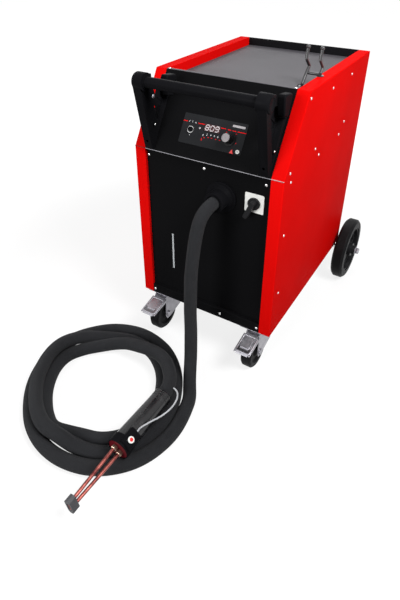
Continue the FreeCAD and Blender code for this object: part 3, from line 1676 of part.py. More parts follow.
def make_torch():
    roll = size.torch_roll
    grip_back = -size.boot_length
    grip_end = grip_back - size.grip_length
    face_end = grip_end - size.torch_collar_length

    boot = Piece("torch_boot")
    groove = size.boot_groove
    wide = size.boot_groove_width
    radius = size.boot_radius
    outline = [(0, 0), (0, grip_back), (radius, grip_back)]
    for ring in (3, 2, 1):
        low = -wide * (ring * 2 + 1)
        outline += [(radius, low), (radius - groove, low), (radius - groove, low + wide), (radius, low + wide)]
    outline += [(radius, -wide), (radius - wide, 0)]
    boot.turn("Revolution", outline)
    on_torch(boot, roll)

    grip = Piece("torch_grip")
    grip.turn("Revolution", [(0, grip_back), (0, grip_end), (size.grip_front_radius, grip_end), (radius, grip_back)])
    on_torch(grip, roll)

    collar = Piece("torch_collar")
    outer = size.torch_collar_radius
    rim = size.torch_collar_rim
    sunk = face_end + size.torch_face_sink
    collar.turn("Revolution", [
        (0, grip_end), (0, sunk), (outer - rim, sunk), (outer - rim, face_end), (outer - rim / 2, face_end),
        (outer, face_end + rim), (outer, grip_end),
    ])
    on_torch(collar, roll)

    disc = Piece("torch_face")
    disc.pad("XZ", [Circle(0, 0, outer - rim - size.panel_gap)], sunk - size.torch_face_gauge, sunk)
    on_torch(disc, roll)

    make_switch_housing(grip_back, grip_end, face_end)
    make_head(sunk - size.torch_face_gauge)


def make_switch_housing(grip_back, grip_end, face_end):
    """The switch housing that saddles the collar and the grip, its button and its lead."""
    front_end = face_end + size.housing_front
    back_end = front_end + size.housing_length
    wide = size.housing_width / 2
    roof = size.housing_roof
    housing = Piece("torch_switch_housing")
    housing.pad("XZ", [rectangle(-wide, wide, 0, roof)], front_end, back_end)
    housing.round_corners("Y", [(-wide, roof), (wide, roof)], size.housing_corner)
    taper = (size.grip_front_radius - size.boot_radius) / size.grip_length
    grip_radius = size.boot_radius + taper * (grip_back - back_end)
    profile = [
        (0, front_end - over), (size.torch_collar_radius, front_end - over),
        (size.torch_collar_radius, grip_end), (size.grip_front_radius, grip_end),
        (grip_radius, back_end), (grip_radius, back_end + over), (0, back_end + over),
    ]
    housing.turn("Groove", profile)
    button_y = face_end + size.torch_button_back + size.housing_front
    well_floor = roof - size.torch_button_travel - size.torch_button_rise
    housing.cut("XY", [Circle(0, button_y, size.torch_button_radius + size.slide_gap)], well_floor, roof + over)
    on_torch(housing, size.torch_roll)

    button = Piece("torch_button")
    seat = well_floor + size.torch_button_travel + size.panel_gap
    button.pad("XY", [Circle(0, button_y, size.torch_button_radius)], seat, roof + size.torch_button_rise)
    on_torch(button, size.torch_roll)

    exit_spot = rolled(0, back_end, size.lead_out, size.torch_roll)
    straight = exit_spot + vector(0, size.lead_radius * STRAIGHT_SHARE, 0)
    hose_reach = size.hose_radius + size.lead_radius / 2 + size.panel_gap
    angle = size.lead_end_angle
    last = torch_tail() + vector(cosine(angle) * hose_reach, size.lead_end_back, sine(angle) * hose_reach)
    points = [exit_spot, straight] + [Vector(*spot) for spot in LEAD_ROUTE] + [last]
    path, radii = bent_path(points)
    print("lead radii", [round(radius) for radius in radii])
    solid_node("torch_lead", tube(path, size.lead_radius))


STRAIGHT_SHARE = 7


def make_head(face_y):
    """Two copper tubes in nuts that carry the ferrite core, and their loop in its slot."""
    nose_y = size.torch_tail_y - size.torch_nose_y
    core_back = nose_y + size.core_head_length
    back = size.copper_spacing_back / 2
    near = size.copper_spacing_front / 2
    radius = size.copper_radius
    nut = size.copper_nut_length
    head_roll = size.torch_roll + size.head_twist
    parts = []
    for side in (-1, 1):
        start = rolled(side * back, face_y, 0, size.torch_roll)
        leave = rolled(side * back, face_y - nut, 0, size.torch_roll)
        arrive = rolled(side * near, core_back + radius, 0, head_roll)
        end = rolled(side * near, core_back, 0, head_roll)
        bar = tube(Part.makePolygon([start, leave, arrive, end]), radius, 1)
        collar = Part.makeCylinder(float(size.copper_nut_radius), float(nut), start, -Y_AXIS)
        parts.append(bar.fuse(collar))
    slot_floor = nose_y + radius * 2
    loop_y = nose_y + radius
    loop = [rolled(-back, loop_y, 0, head_roll), rolled(back, loop_y, 0, head_roll)]
    parts.append(tube(Part.makePolygon(loop), radius - size.panel_gap))
    solid_node("copper_coil", Part.makeCompound(parts))

    core = Piece("ferrite_core")
    wide = size.core_head_width / 2
    tall = size.core_head_height / 2
    bevel = size.core_head_bevel
    outline = [
        (-wide, bevel - tall), (bevel - wide, -tall), (wide - bevel, -tall), (wide, bevel - tall),
        (wide, tall - bevel), (wide - bevel, tall), (bevel - wide, tall), (-wide, tall - bevel),
    ]
    core.pad("XZ", [outline], nose_y, core_back)
    core.cut("XZ", [rectangle(-back, back, -radius, radius)], nose_y - over, slot_floor)
    on_torch(core, head_roll)


# Torch rest

def make_torch_rest():
    """Two bent rods with round tips, joined by a cross bar, on the tray's right edge."""
    tray_top = top - size.tray_depth
    rest_y = front + size.rest_back
    base_z = tray_top
    knots = [
        (0, 0), (size.rest_bar_back, size.rest_bar_rise), (size.rest_knee_back, size.rest_knee_rise),
        (size.rest_neck_back, size.rest_neck_rise), (size.rest_tip_back, size.rest_tip_rise),
    ]
    shapes = []
    for index in range(2):
        rod_x = size.rest_x + size.rest_spacing * index
        foot_z = base_z if index == 0 else top
        bar_z = base_z + size.rest_bar_rise
        foot = vector(rod_x, rest_y + size.rest_bar_back * index, foot_z)
        points = [foot, foot + vector(0, 0, size.rest_radius * 2)]
        points += [vector(rod_x, rest_y + back, base_z + up) for back, up in knots[2:]]
        rod = tube(Part.makePolygon(points), size.rest_radius, 1)
        tip = Part.makeSphere(float(size.rest_tip_radius), points[-1])
        pad = Part.makeCylinder(float(size.rest_foot_radius), float(size.rest_foot_gauge), foot)
        shapes += [rod, tip, pad]
    start = vector(size.rest_x, rest_y + size.rest_bar_back, bar_z)
    bar = Part.makeCylinder(float(size.rest_radius), float(size.rest_spacing), start, X_AXIS)
    shapes.append(bar)
    solid_node("torch_rest", shapes[0].fuse(shapes[1:]))


make_cabinet()
make_control_face()
make_handle()
make_front_fittings()
make_inside()
make_rear_wheels()
make_casters()
make_hose()
make_torch()
make_torch_rest()
doc.recompute()

for thing in doc.Objects:
    if "Invalid" in thing.State or "Error" in thing.State:
        raise RuntimeError("%s did not build: %s" % (thing.Label, thing.State))
os.makedirs("parts", exist_ok=True)
for node in nodes:
    shape = node.Shape
    if shape.isNull() or not shape.isValid() or not shape.Solids:
        raise RuntimeError("%s has no valid solid" % node.Label)
for node in nodes:
    node.Shape.exportStep("parts/%s.step" % node.Label)
print("pieces", len(nodes))
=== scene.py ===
import json
import math

import bmesh
import bpy
from mathutils import Matrix, Vector


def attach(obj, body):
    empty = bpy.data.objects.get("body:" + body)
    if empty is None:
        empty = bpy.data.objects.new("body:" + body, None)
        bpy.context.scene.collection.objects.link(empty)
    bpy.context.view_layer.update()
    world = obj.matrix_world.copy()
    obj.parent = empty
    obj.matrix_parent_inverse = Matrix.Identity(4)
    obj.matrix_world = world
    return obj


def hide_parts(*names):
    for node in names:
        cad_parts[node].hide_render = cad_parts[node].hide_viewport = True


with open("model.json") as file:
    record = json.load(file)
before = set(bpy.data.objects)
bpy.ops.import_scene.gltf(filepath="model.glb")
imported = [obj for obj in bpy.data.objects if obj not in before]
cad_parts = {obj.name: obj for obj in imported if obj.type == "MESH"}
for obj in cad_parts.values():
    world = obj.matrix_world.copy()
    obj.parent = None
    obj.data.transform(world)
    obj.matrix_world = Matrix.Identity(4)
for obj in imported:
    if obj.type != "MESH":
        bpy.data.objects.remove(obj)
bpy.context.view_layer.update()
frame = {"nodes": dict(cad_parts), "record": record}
MM = 0.001


# Camera

PHOTO_LENS = 30.04
PHOTO_SHIFT = -0.1095
PHOTO_PLACE = (0.5485, -0.9568, 1.0528)
PHOTO_TILT = 90 - 32.17
PHOTO_BEARING = 31.47


def make_camera():
    data = bpy.data.cameras.new("photo_camera")
    data.sensor_width = 36.0
    data.lens = PHOTO_LENS
    data.shift_y = PHOTO_SHIFT
    data.clip_start = 0.05
    data.clip_end = 50.0
    camera = bpy.data.objects.new("photo_camera", data)
    camera.location = PHOTO_PLACE
    camera.rotation_euler = (math.radians(PHOTO_TILT), 0.0, math.radians(PHOTO_BEARING))
    bpy.context.scene.collection.objects.link(camera)
    bpy.context.scene.camera = camera


make_camera()


# Shader maths

class Value:
    """A number that changes over a surface, with the operators that the finishes use."""

    def __init__(self, finish, socket):
        self.finish = finish
        self.socket = socket

    def maths(self, operation, *others):
        node = self.finish.node("ShaderNodeMath", {"operation": operation}, self, *others)
        return Value(self.finish, node.outputs["Value"])

    def __add__(self, other):
        return self.maths("ADD", other)

    def __sub__(self, other):
        return self.maths("SUBTRACT", other)

    def __rsub__(self, other):
        return self.maths("MULTIPLY", -1.0) + other

    def __mul__(self, other):
        return self.maths("MULTIPLY", other)

    def __pow__(self, other):
        return self.maths("POWER", other)

    def sine(self):
        return self.maths("SINE")

    def ramp(self, low, high):
        node = self.finish.node("ShaderNodeMapRange", {"interpolation_type": "SMOOTHSTEP"},
                                self, low, high, 0.0, 1.0)
        return Value(self.finish, node.outputs["Result"])


class Finish:
    """One of the heater's finishes: a shader and the nodes that feed it."""

    def __init__(self, name, colour, roughness=0.5, metallic=0.0, **plain):
        self.material = bpy.data.materials.new(name)
        self.material.use_nodes = True
        self.tree = self.material.node_tree
        self.tree.nodes.clear()
        self.shader = self.node("ShaderNodeBsdfPrincipled", {})
        result = self.node("ShaderNodeOutputMaterial", {})
        self.tree.links.new(self.shader.outputs["BSDF"], result.inputs["Surface"])
        self.material.diffuse_color = (*colour, 1.0)
        self.feed("Roughness", roughness)
        self.feed("Metallic", metallic)
        for socket, value in plain.items():
            self.feed(socket.replace("_", " "), value)

    def node(self, kind, settings, *values, **named):
        node = self.tree.nodes.new(kind)
        for name, value in settings.items():
            setattr(node, name, value)
        for socket, value in zip(node.inputs, values):
            self.join(socket, value)
        for name, value in named.items():
            self.join(node.inputs[name.replace("_", " ")], value)
        return node

    def join(self, socket, value):
        if isinstance(value, Value):
            self.tree.links.new(value.socket, socket)
        elif isinstance(value, bpy.types.NodeSocket):
            self.tree.links.new(value, socket)
        elif value is not None:
            socket.default_value = value

    def feed(self, name, value):
        self.join(self.shader.inputs[name], value)

    def place(self, stretch=(1.0, 1.0, 1.0)):
        """Object coordinates, stretched."""
        coordinates = self.node("ShaderNodeTexCoord", {})
        mapping = self.node("ShaderNodeMapping", {}, coordinates.outputs["Object"], Scale=stretch)
        return mapping.outputs["Vector"]

    def axis(self, name):
        """One object coordinate, in metres."""
        coordinates = self.node("ShaderNodeTexCoord", {})
        split = self.node("ShaderNodeSeparateXYZ", {}, coordinates.outputs["Object"])
        return Value(self, split.outputs[name])

    def noise(self, scale, detail=2.0, roughness=0.5, stretch=(1.0, 1.0, 1.0)):
        node = self.node("ShaderNodeTexNoise", {}, Vector=self.place(stretch), Scale=scale,
                         Detail=detail, Roughness=roughness)
        return Value(self, node.outputs["Fac"])

    def cells(self, scale):
        node = self.node("ShaderNodeTexVoronoi", {"feature": "F1"}, Vector=self.place(), Scale=scale)
        return Value(self, node.outputs["Distance"])

    def blend(self, share, first, second):
        """A colour between two, by a share."""
        node = self.node("ShaderNodeMix", {"data_type": "RGBA"})
        self.join(node.inputs["Factor"], share)
        colours = [socket for socket in node.inputs if socket.type == "RGBA"]
        self.join(colours[0], (*first, 1.0))
        self.join(colours[1], (*second, 1.0))
        return [socket for socket in node.outputs if socket.type == "RGBA"][0]

    def relief(self, height, depth):
        """Small bumps of that depth, in metres."""
        node = self.node("ShaderNodeBump", {}, Strength=1.0, Distance=depth, Height=height)
        self.feed("Normal", node.outputs["Normal"])

    def vary(self, low, high, share):
        self.feed("Roughness", share * (high - low) + low)


def shade(colour, factor):
    return tuple(min(1.0, channel * factor) for channel in colour)


# Finishes

def powder_coat(name, colour, roughness, shine):
    finish = Finish(name, colour, roughness, Specular_IOR_Level=shine)
    drift = finish.noise(9.0, 3.0)
    finish.feed("Base Color", finish.blend(drift, shade(colour, 0.9), shade(colour, 1.08)))
    finish.vary(roughness - 0.05, roughness + 0.08, finish.noise(30.0, 4.0))
    finish.relief(finish.noise(900.0, 2.0), 0.00006)
    return finish.material


def textured_coat(name, colour, roughness, shine=0.3):
    finish = Finish(name, colour, roughness, Specular_IOR_Level=shine)
    grain = finish.noise(1500.0, 3.0, 0.6)
    drift = finish.noise(7.0, 3.0)
    finish.feed("Base Color", finish.blend(drift, shade(colour, 0.8), shade(colour, 1.25)))
    finish.vary(roughness - 0.08, roughness + 0.1, grain)
    finish.relief(grain, 0.00018)
    return finish.material


def moulding(name, colour, roughness, grain=1200.0, depth=0.00008, shine=0.3):
    finish = Finish(name, colour, roughness, Specular_IOR_Level=shine)
    drift = finish.noise(25.0, 3.0)
    finish.feed("Base Color", finish.blend(drift, shade(colour, 0.85), shade(colour, 1.2)))
    finish.vary(roughness - 0.06, roughness + 0.08, finish.noise(60.0, 4.0))
    finish.relief(finish.noise(grain, 3.0), depth)
    return finish.material


def rubber(name, colour, roughness, shine):
    finish = Finish(name, colour, roughness, Specular_IOR_Level=shine)
    dust = finish.noise(45.0, 5.0, 0.6).ramp(0.45, 0.75)
    finish.feed("Base Color", finish.blend(dust * 0.5, colour, shade(colour, 2.0)))
    finish.vary(roughness - 0.08, roughness + 0.12, dust)
    finish.relief(finish.noise(800.0, 3.0, 0.6), 0.00015)
    return finish.material


def zinc_plate():
    finish = Finish("zinc_plate", (0.5, 0.5, 0.53), 0.36, 0.85)
    spangle = finish.cells(160.0)
    drift = finish.noise(60.0, 4.0)
    finish.feed("Base Color", finish.blend(drift, (0.22, 0.22, 0.245), (0.45, 0.44, 0.47)))
    finish.vary(0.28, 0.5, spangle)
    finish.relief(finish.noise(600.0, 3.0), 0.00006)
    return finish.material


def bright_steel(name, colour=(0.66, 0.66, 0.66), roughness=0.22):
    finish = Finish(name, colour, roughness, 1.0)
    marks = finish.noise(400.0, 3.0, 0.5, (1.0, 1.0, 0.06))
    finish.feed("Base Color", finish.blend(marks, shade(colour, 0.85), shade(colour, 1.1)))
    finish.vary(roughness - 0.06, roughness + 0.12, marks)
    finish.relief(marks, 0.00004)
    return finish.material


def drawn_copper():
    finish = Finish("drawn_copper", (0.3, 0.09, 0.07), 0.28, 1.0)
    heat = finish.noise(60.0, 4.0, 0.6)
    along = finish.noise(500.0, 2.0, 0.5, (1.0, 0.05, 1.0))
    finish.feed("Base Color", finish.blend(heat.ramp(0.4, 0.7), (0.3, 0.09, 0.075), (0.1, 0.022, 0.022)))
    finish.vary(0.2, 0.45, along)
    finish.relief(along, 0.00005)
    return finish.material


STRAND_PITCH = 0.0024


def woven_sleeve():
    """Two sets of slanted strands, over and under one another, on the hose's own map in metres."""
    finish = Finish("woven_sleeve", (0.02, 0.021, 0.024), 0.78, Sheen_Weight=0.03, Sheen_Roughness=0.5,
                    Specular_IOR_Level=0.1)
    chart = finish.node("ShaderNodeTexCoord", {})
    split = finish.node("ShaderNodeSeparateXYZ", {}, chart.outputs["UV"])
    around = Value(finish, split.outputs["X"])
    along = Value(finish, split.outputs["Y"])
    turn = 2 * math.pi / STRAND_PITCH
    right = ((along + around) * turn).sine()
    left = ((along - around) * turn).sine()
    over = (right * left).ramp(-0.2, 0.2)
    strand = (right * right) * over + (left * left) * (1 - over)
    wear = finish.noise(70.0, 4.0, 0.6)
    # The upper strand's crowns are painted paler and the gaps between strands darker, as painted shade and
    # sheen of the weave; the noise adds wear
    strand_shade_and_wear = strand * 0.6 + wear * 0.5
    finish.feed("Base Color", finish.blend(strand_shade_and_wear, (0.006, 0.006, 0.007), (0.027, 0.028, 0.031)))
    finish.vary(0.65, 0.9, wear)
    folds = finish.noise(38.0, 3.0, 0.5)
    finish.relief(strand * 0.35 + folds * 0.9, 0.0009)
    return finish.material


def glowing(name, colour, strength):
    finish = Finish(name, colour, 0.35)
    finish.feed("Emission Color", (*colour, 1.0))
    finish.feed("Emission Strength", strength)
    finish.feed("Base Color", finish.blend(finish.noise(300.0), shade(colour, 0.8), colour))
    return finish.material


def clear_moulding(name, colour, roughness, alpha):
    finish = Finish(name, colour, roughness, Alpha=alpha, Coat_Weight=0.4)
    finish.feed("Base Color", finish.blend(finish.noise(80.0), shade(colour, 0.9), colour))
    return finish.material


RED = powder_coat("red_powder_coat", (0.62, 0.003, 0.0025), 0.34, 0.001)
BLACK = powder_coat("black_powder_coat", (0.005, 0.005, 0.0055), 0.32, 0.01)
REAR_BLACK = powder_coat("rear_black_coat", (0.014, 0.014, 0.015), 0.4, 0.15)
TRAY = textured_coat("tray_black_coat", (0.005, 0.005, 0.006), 0.4, 0.04)
MAT = textured_coat("tray_mat_rubber", (0.062, 0.059, 0.066), 0.5, 0.06)
PLASTIC = moulding("black_moulding", (0.01, 0.01, 0.011), 0.35, shine=0.1)
GLOSS = moulding("gloss_black_moulding", (0.006, 0.006, 0.007), 0.36, 600.0, 0.00003, 0.008)
GREY = moulding("grey_moulding", (0.34, 0.35, 0.36), 0.42)
PALE = moulding("pale_moulding", (0.78, 0.78, 0.75), 0.35)
SIGNAL_RED = moulding("red_moulding", (0.72, 0.02, 0.02), 0.3)
GRIP = rubber("grip_rubber", (0.005, 0.005, 0.006), 0.26, 0.5)
TYRE = rubber("tyre_rubber", (0.006, 0.006, 0.0065), 0.55, 0.06)
ZINC = zinc_plate()
STEEL = bright_steel("bright_steel")
# Painted shade: the darker steel for the patch that stands in for the shade in each pedal's recess
PEDAL_SHADE_STEEL = bright_steel("dark_steel", (0.16, 0.16, 0.17), 0.3)
ALUMINIUM = bright_steel("plain_aluminium", (0.62, 0.63, 0.64), 0.35)
COPPER = drawn_copper()
DISC = moulding("dark_red_moulding", (0.09, 0.004, 0.008), 0.4, shine=0.1)
BRASS = bright_steel("plain_brass", (0.36, 0.26, 0.2), 0.3)
HUB = moulding("dark_hub_moulding", (0.012, 0.012, 0.013), 0.4, shine=0.12)
ROD = moulding("coated_rod", (0.02, 0.02, 0.022), 0.28, 600.0, 0.00003, 0.5)
CAP = moulding("knob_cap", (0.32, 0.3, 0.31), 0.35, shine=0.1)
FERRITE = textured_coat("ferrite_core", (0.055, 0.055, 0.06), 0.55)
LEAD = moulding("grey_jacket", (0.42, 0.43, 0.45), 0.45)
BOARD = moulding("circuit_board", (0.012, 0.1, 0.03), 0.4)
TANK = moulding("natural_tank", (0.72, 0.74, 0.68), 0.35)
SLEEVE = woven_sleeve()
LABEL = moulding("label_film", (0.017, 0.0175, 0.019), 0.3, 500.0, 0.00001, 0.01)
WINDOW = moulding("red_window", (0.045, 0.012, 0.014), 0.3, 400.0, 0.00002)
DIGITS = glowing("lit_digits", (0.5, 0.45, 0.46), 0.12)
WHITE_INK = moulding("white_ink", (0.6, 0.6, 0.62), 0.45)
RED_INK = moulding("red_ink", (0.62, 0.004, 0.004), 0.5, shine=0.05)
BLANK = moulding("blank_plate", (0.36, 0.34, 0.35), 0.35, shine=0.1)
LAMP = glowing("red_lamp", (0.6, 0.01, 0.008), 0.1)
SIGHT = clear_moulding("sight_tube", (0.86, 0.9, 0.93), 0.12, 0.7)


# Pieces

WELD = 0.00001
FLAT_ANGLE = 0.6
BEVEL_ANGLE = 35
SHADE_ANGLE = 32
PIECE_SHADE_ANGLE = 40
TUBE_SHADE_ANGLE = 60
HEXAGON = 6
TINY_ROUND = 24
SMALL_ROUND = 32
ROUND = 48

home = {}
for body, members in frame["record"]["behaviour"]["bodies"].items():
    for member in members:
        home[member] = body


def link(name, mesh):
    piece = bpy.data.objects.new(name, mesh)
    bpy.context.scene.collection.objects.link(piece)
    return piece


def mesh_piece(name, shape, finish, smooth=None):
    """An object made from a bmesh, with its finish."""
    mesh = bpy.data.meshes.new(name)
    shape.to_mesh(mesh)
    shape.free()
    mesh.materials.append(finish)
    if smooth is not None:
        mesh.shade_smooth()
        mesh.set_sharp_from_angle(angle=math.radians(smooth))
    return link(name, mesh)


def lathe(profile, sides):
    """A closed turned solid from (radius, height) pairs that start and end on its axis."""
    shape = bmesh.new()
    rings = []
    for radius, height in profile:
        if radius == 0:
            rings.append([shape.verts.new((0, 0, height))])
            continue
        ring = []
        for corner in range(sides):
            angle = 2 * math.pi * corner / sides
            ring.append(shape.verts.new((radius * math.cos(angle), radius * math.sin(angle), height)))
        rings.append(ring)
    for low, high in zip(rings, rings[1:]):
        for corner in range(sides):
            following = (corner + 1) % sides
            corners = [low[corner % len(low)], low[following % len(low)],
                       high[following % len(high)], high[corner % len(high)]]
            unique = []
            for vertex in corners:
                if vertex not in unique:
                    unique.append(vertex)
            shape.faces.new(unique)
    bmesh.ops.recalc_face_normals(shape, faces=shape.faces)
    return shape


def fixed(piece):
    """The piece with its modifiers worked into its mesh."""
    graph = bpy.context.evaluated_depsgraph_get()
    mesh = bpy.data.meshes.new_from_object(piece.evaluated_get(graph))
    name = piece.name
    bpy.data.objects.remove(piece)
    return link(name, mesh)


def join_loops(shape, low, high):
    """Faces between two loops that have as many corners."""
    for index in range(len(low)):
        following = (index + 1) % len(low)
        shape.faces.new((low[index], low[following], high[following], high[index]))


def fill_between(shape, low, high):
    """A closed solid between two loops that have as many corners."""
    shape.faces.new(list(reversed(low)))
    shape.faces.new(high)
    join_loops(shape, low, high)


def turned(name, profile, sides, finish, base, toward, body):
    """A turned piece in millimetres that stands on a base, with its axis the given way."""
    shape = lathe([(radius * MM, height * MM) for radius, height in profile], sides)
    turn = Vector(toward).to_track_quat("Z", "Y").to_matrix().to_4x4()
    shape.transform(Matrix.Translation(base) @ turn)
    piece = mesh_piece(name, shape, finish, PIECE_SHADE_ANGLE)
    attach(piece, body)
    return piece


def slab(name, outline, near, far, finish, edge=0):
    """A plate across X, from a (back, up) outline in millimetres, with its edges softened."""
    shape = bmesh.new()
    near_end, far_end = [
        [shape.verts.new((across * MM, back * MM, up * MM)) for back, up in outline] for across in (near, far)
    ]
    fill_between(shape, far_end, near_end)
    bmesh.ops.recalc_face_normals(shape, faces=shape.faces)
    piece = mesh_piece(name, shape, finish, PIECE_SHADE_ANGLE)
    if edge:
        soften(piece, edge)
    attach(piece, "cabinet")
    return piece


def soften(piece, edge):
    bevel = piece.modifiers.new("edge", "BEVEL")
    bevel.width = edge
    bevel.segments = 2
    bevel.limit_method = "ANGLE"
    bevel.angle_limit = math.radians(BEVEL_ANGLE)
    bevel.use_clamp_overlap = True


def dressed(node, finish, edge=0, carve=None):
    """A CAD piece with its corners joined and softened, in its finish."""
    mesh = frame["nodes"][node].data.copy()
    if "custom_normal" in mesh.attributes:
        mesh.attributes.remove(mesh.attributes["custom_normal"])
    mesh.materials.clear()
    shape = bmesh.new()
    shape.from_mesh(mesh)
    bmesh.ops.remove_doubles(shape, verts=shape.verts, dist=WELD)
    bmesh.ops.dissolve_limit(shape, angle_limit=math.radians(FLAT_ANGLE), verts=shape.verts,
                             edges=shape.edges, use_dissolve_boundaries=False)
    piece = mesh_piece(node + "_dressed", shape, finish, SHADE_ANGLE)
    if carve:
        notch = piece.modifiers.new("notch", "BOOLEAN")
        notch.operation = "DIFFERENCE"
        notch.solver = "EXACT"
        notch.object = carve
        piece = fixed(piece)
    if edge:
        soften(piece, edge)
    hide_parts(node)
    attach(piece, home[node])
    return piece


# Hose

def smooth_step(value, start, end):
    share = min(1.0, max(0.0, (value - start) / (end - start)))
    return share * share * (3 - 2 * share)


def plateau(value, start, full, fade, end):
    """Rises from nought to one, stays there and falls to nought."""
    return smooth_step(value, start, full) * (1 - smooth_step(value, fade, end))


HOSE_RADIUS = 0.0175
HOSE_SIDES = 28
HOSE_SEAT = (0.044, -0.063, 0.498)
DROP_ROUTE = [
    (0.044, -0.082, 0.498), (0.041, -0.100, 0.493), (0.036, -0.115, 0.478), (0.033, -0.125, 0.455),
    (0.031, -0.136, 0.415), (0.029, -0.149, 0.345), (0.028, -0.153, 0.245), (0.031, -0.156, 0.155),
    (0.035, -0.163, 0.097), (0.043, -0.181, 0.056), (0.058, -0.207, 0.030),
]
TORCH_TAIL = (0.038, -0.296, 0.0645)
RUN_IN = HOSE_RADIUS * 1.5
TAIL_RUN = HOSE_RADIUS * 2
FLOOR_GAP = 0.001
COIL_MIDDLE = (-0.121, -0.326)
COIL_START = 18.0
COIL_TURNS = 2.96
COIL_REACH = 0.225
COIL_SHIFT = 0.012
SHIFT_BEARING = 97
COIL_OVAL = 0.016
OVAL_BEARING = 130
COIL_PITCH = 0.0362
STACKED_PITCH = 0.017
STACKED_BEARINGS = (92, 124, 200, 250)
COIL_LIFT = 0.0325
LIFT_BEARINGS = (80, 112, 208, 258)
TAIL_PEEL = 0.058
PEEL_TURNS = (2.78, 2.95)
TAIL_LIFT = 0.046
TAIL_LIFT_TURNS = (2.62, 2.88)
POINTS_PER_TURN = 24


def coil_point(turns):
    """Middle of the hose after some turns, clockwise from where the drop joins.

    The second turn is lifted over the others on the left, where the turns also lie closer,
    and the end of the third peels off and rises to the torch."""
    bearing = COIL_START - 360 * turns
    around = (COIL_START - bearing) % 360
    angle = math.radians(bearing)
    shift = COIL_SHIFT * math.cos(angle - math.radians(SHIFT_BEARING))
    oval = COIL_OVAL * math.cos(2 * (angle - math.radians(OVAL_BEARING)))
    pitch = COIL_PITCH - STACKED_PITCH * plateau(around, *STACKED_BEARINGS)
    peel = TAIL_PEEL * smooth_step(turns, *PEEL_TURNS)
    reach = COIL_REACH + shift + oval - pitch * turns + peel
    height = HOSE_RADIUS + FLOOR_GAP
    if 1 < turns < 2:
        height += COIL_LIFT * plateau(around, *LIFT_BEARINGS)
    height += TAIL_LIFT * smooth_step(turns, *TAIL_LIFT_TURNS)
    across, back = COIL_MIDDLE
    return Vector((across + reach * math.cos(angle), back + reach * math.sin(angle), height))


def hose_points():
    start = coil_point(0.0)
    heading = coil_point(0.001) - coil_point(-0.001)
    heading.z = 0
    run_in = start - heading.normalized() * RUN_IN
    points = [Vector(HOSE_SEAT)] + [Vector(point) for point in DROP_ROUTE] + [run_in]
    steps = round(COIL_TURNS * POINTS_PER_TURN)
    points += [coil_point(COIL_TURNS * index / steps) for index in range(steps)]
    tail = Vector(TORCH_TAIL)
    return points + [tail + Vector((0, TAIL_RUN, 0)), tail]


def smooth_line(name, points):
    """The smooth line that a cord follows, from its control points."""
    curve = bpy.data.curves.new(name, "CURVE")
    curve.dimensions = "3D"
    curve.resolution_u = 6
    spline = curve.splines.new("NURBS")
    spline.points.add(len(points) - 1)
    for slot, point in zip(spline.points, points):
        slot.co = (*point, 1.0)
    spline.order_u = 3
    spline.use_endpoint_u = True
    holder = link(name, curve)
    graph = bpy.context.evaluated_depsgraph_get()
    line = bpy.data.meshes.new_from_object(holder.evaluated_get(graph))
    found = [vertex.co.copy() for vertex in line.vertices]
    bpy.data.objects.remove(holder)
    bpy.data.meshes.remove(line)
    return found


def tube_along(name, line, radius_at, sides, finish):
    """A closed round tube along a line, with a map in metres around and along it."""
    headings = []
    for index in range(len(line)):
        before = line[max(index - 1, 0)]
        after = line[min(index + 1, len(line) - 1)]
        headings.append((after - before).normalized())
    side = headings[0].cross(Vector((0, 0, 1)))
    if side.length < 0.1:
        side = headings[0].cross(Vector((0, 1, 0)))
    side.normalize()
    shape = bmesh.new()
    chart = shape.loops.layers.uv.new("map")
    rings, walked, travelled = [], [], 0.0
    for index, point in enumerate(line):
        side = (side - headings[index] * side.dot(headings[index])).normalized()
        lift = side.cross(headings[index])
        if index:
            travelled += (point - line[index - 1]).length
        walked.append(travelled)
        ring = []
        for corner in range(sides):
            angle = 2 * math.pi * corner / sides
            reach = radius_at(travelled, angle)
            ring.append(shape.verts.new(point + (side * math.cos(angle) + lift * math.sin(angle)) * reach))
        rings.append(ring)
    rim = 2 * math.pi * radius_at(0.0, 0.0)
    for index in range(len(rings) - 1):
        for corner in range(sides):
            following = (corner + 1) % sides
            face = shape.faces.new((rings[index][corner], rings[index][following],
                                    rings[index + 1][following], rings[index + 1][corner]))
            places = [(corner, index), (corner + 1, index), (corner + 1, index + 1), (corner, index + 1)]
            for loop, (across, along) in zip(face.loops, places):
                loop[chart].uv = (rim * across / sides, walked[along])
    shape.faces.new(list(reversed(rings[0])))
    shape.faces.new(rings[-1])
    bmesh.ops.recalc_face_normals(shape, faces=shape.faces)
    return mesh_piece(name, shape, finish, TUBE_SHADE_ANGLE)


def sleeve_radius(travelled, angle):
    """The sleeve is drawn tight on the drop and bags a little where it lies."""
    settle = 0.90 + 0.10 * smooth_step(travelled, 0.1, 0.7)
    wave = 0.012 * math.sin(travelled * 61.0 + angle) + 0.01 * math.sin(travelled * 37.0 - 2 * angle)
    return HOSE_RADIUS * (settle + wave * smooth_step(travelled, 0.02, 0.2))


hose_line = smooth_line("hose_line", hose_points())
hose = tube_along("hose_sleeve", hose_line, sleeve_radius, HOSE_SIDES, SLEEVE)
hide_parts("hose_drop", "hose_coil")
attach(hose, "cabinet")


# Cabinet, controls and inner modules

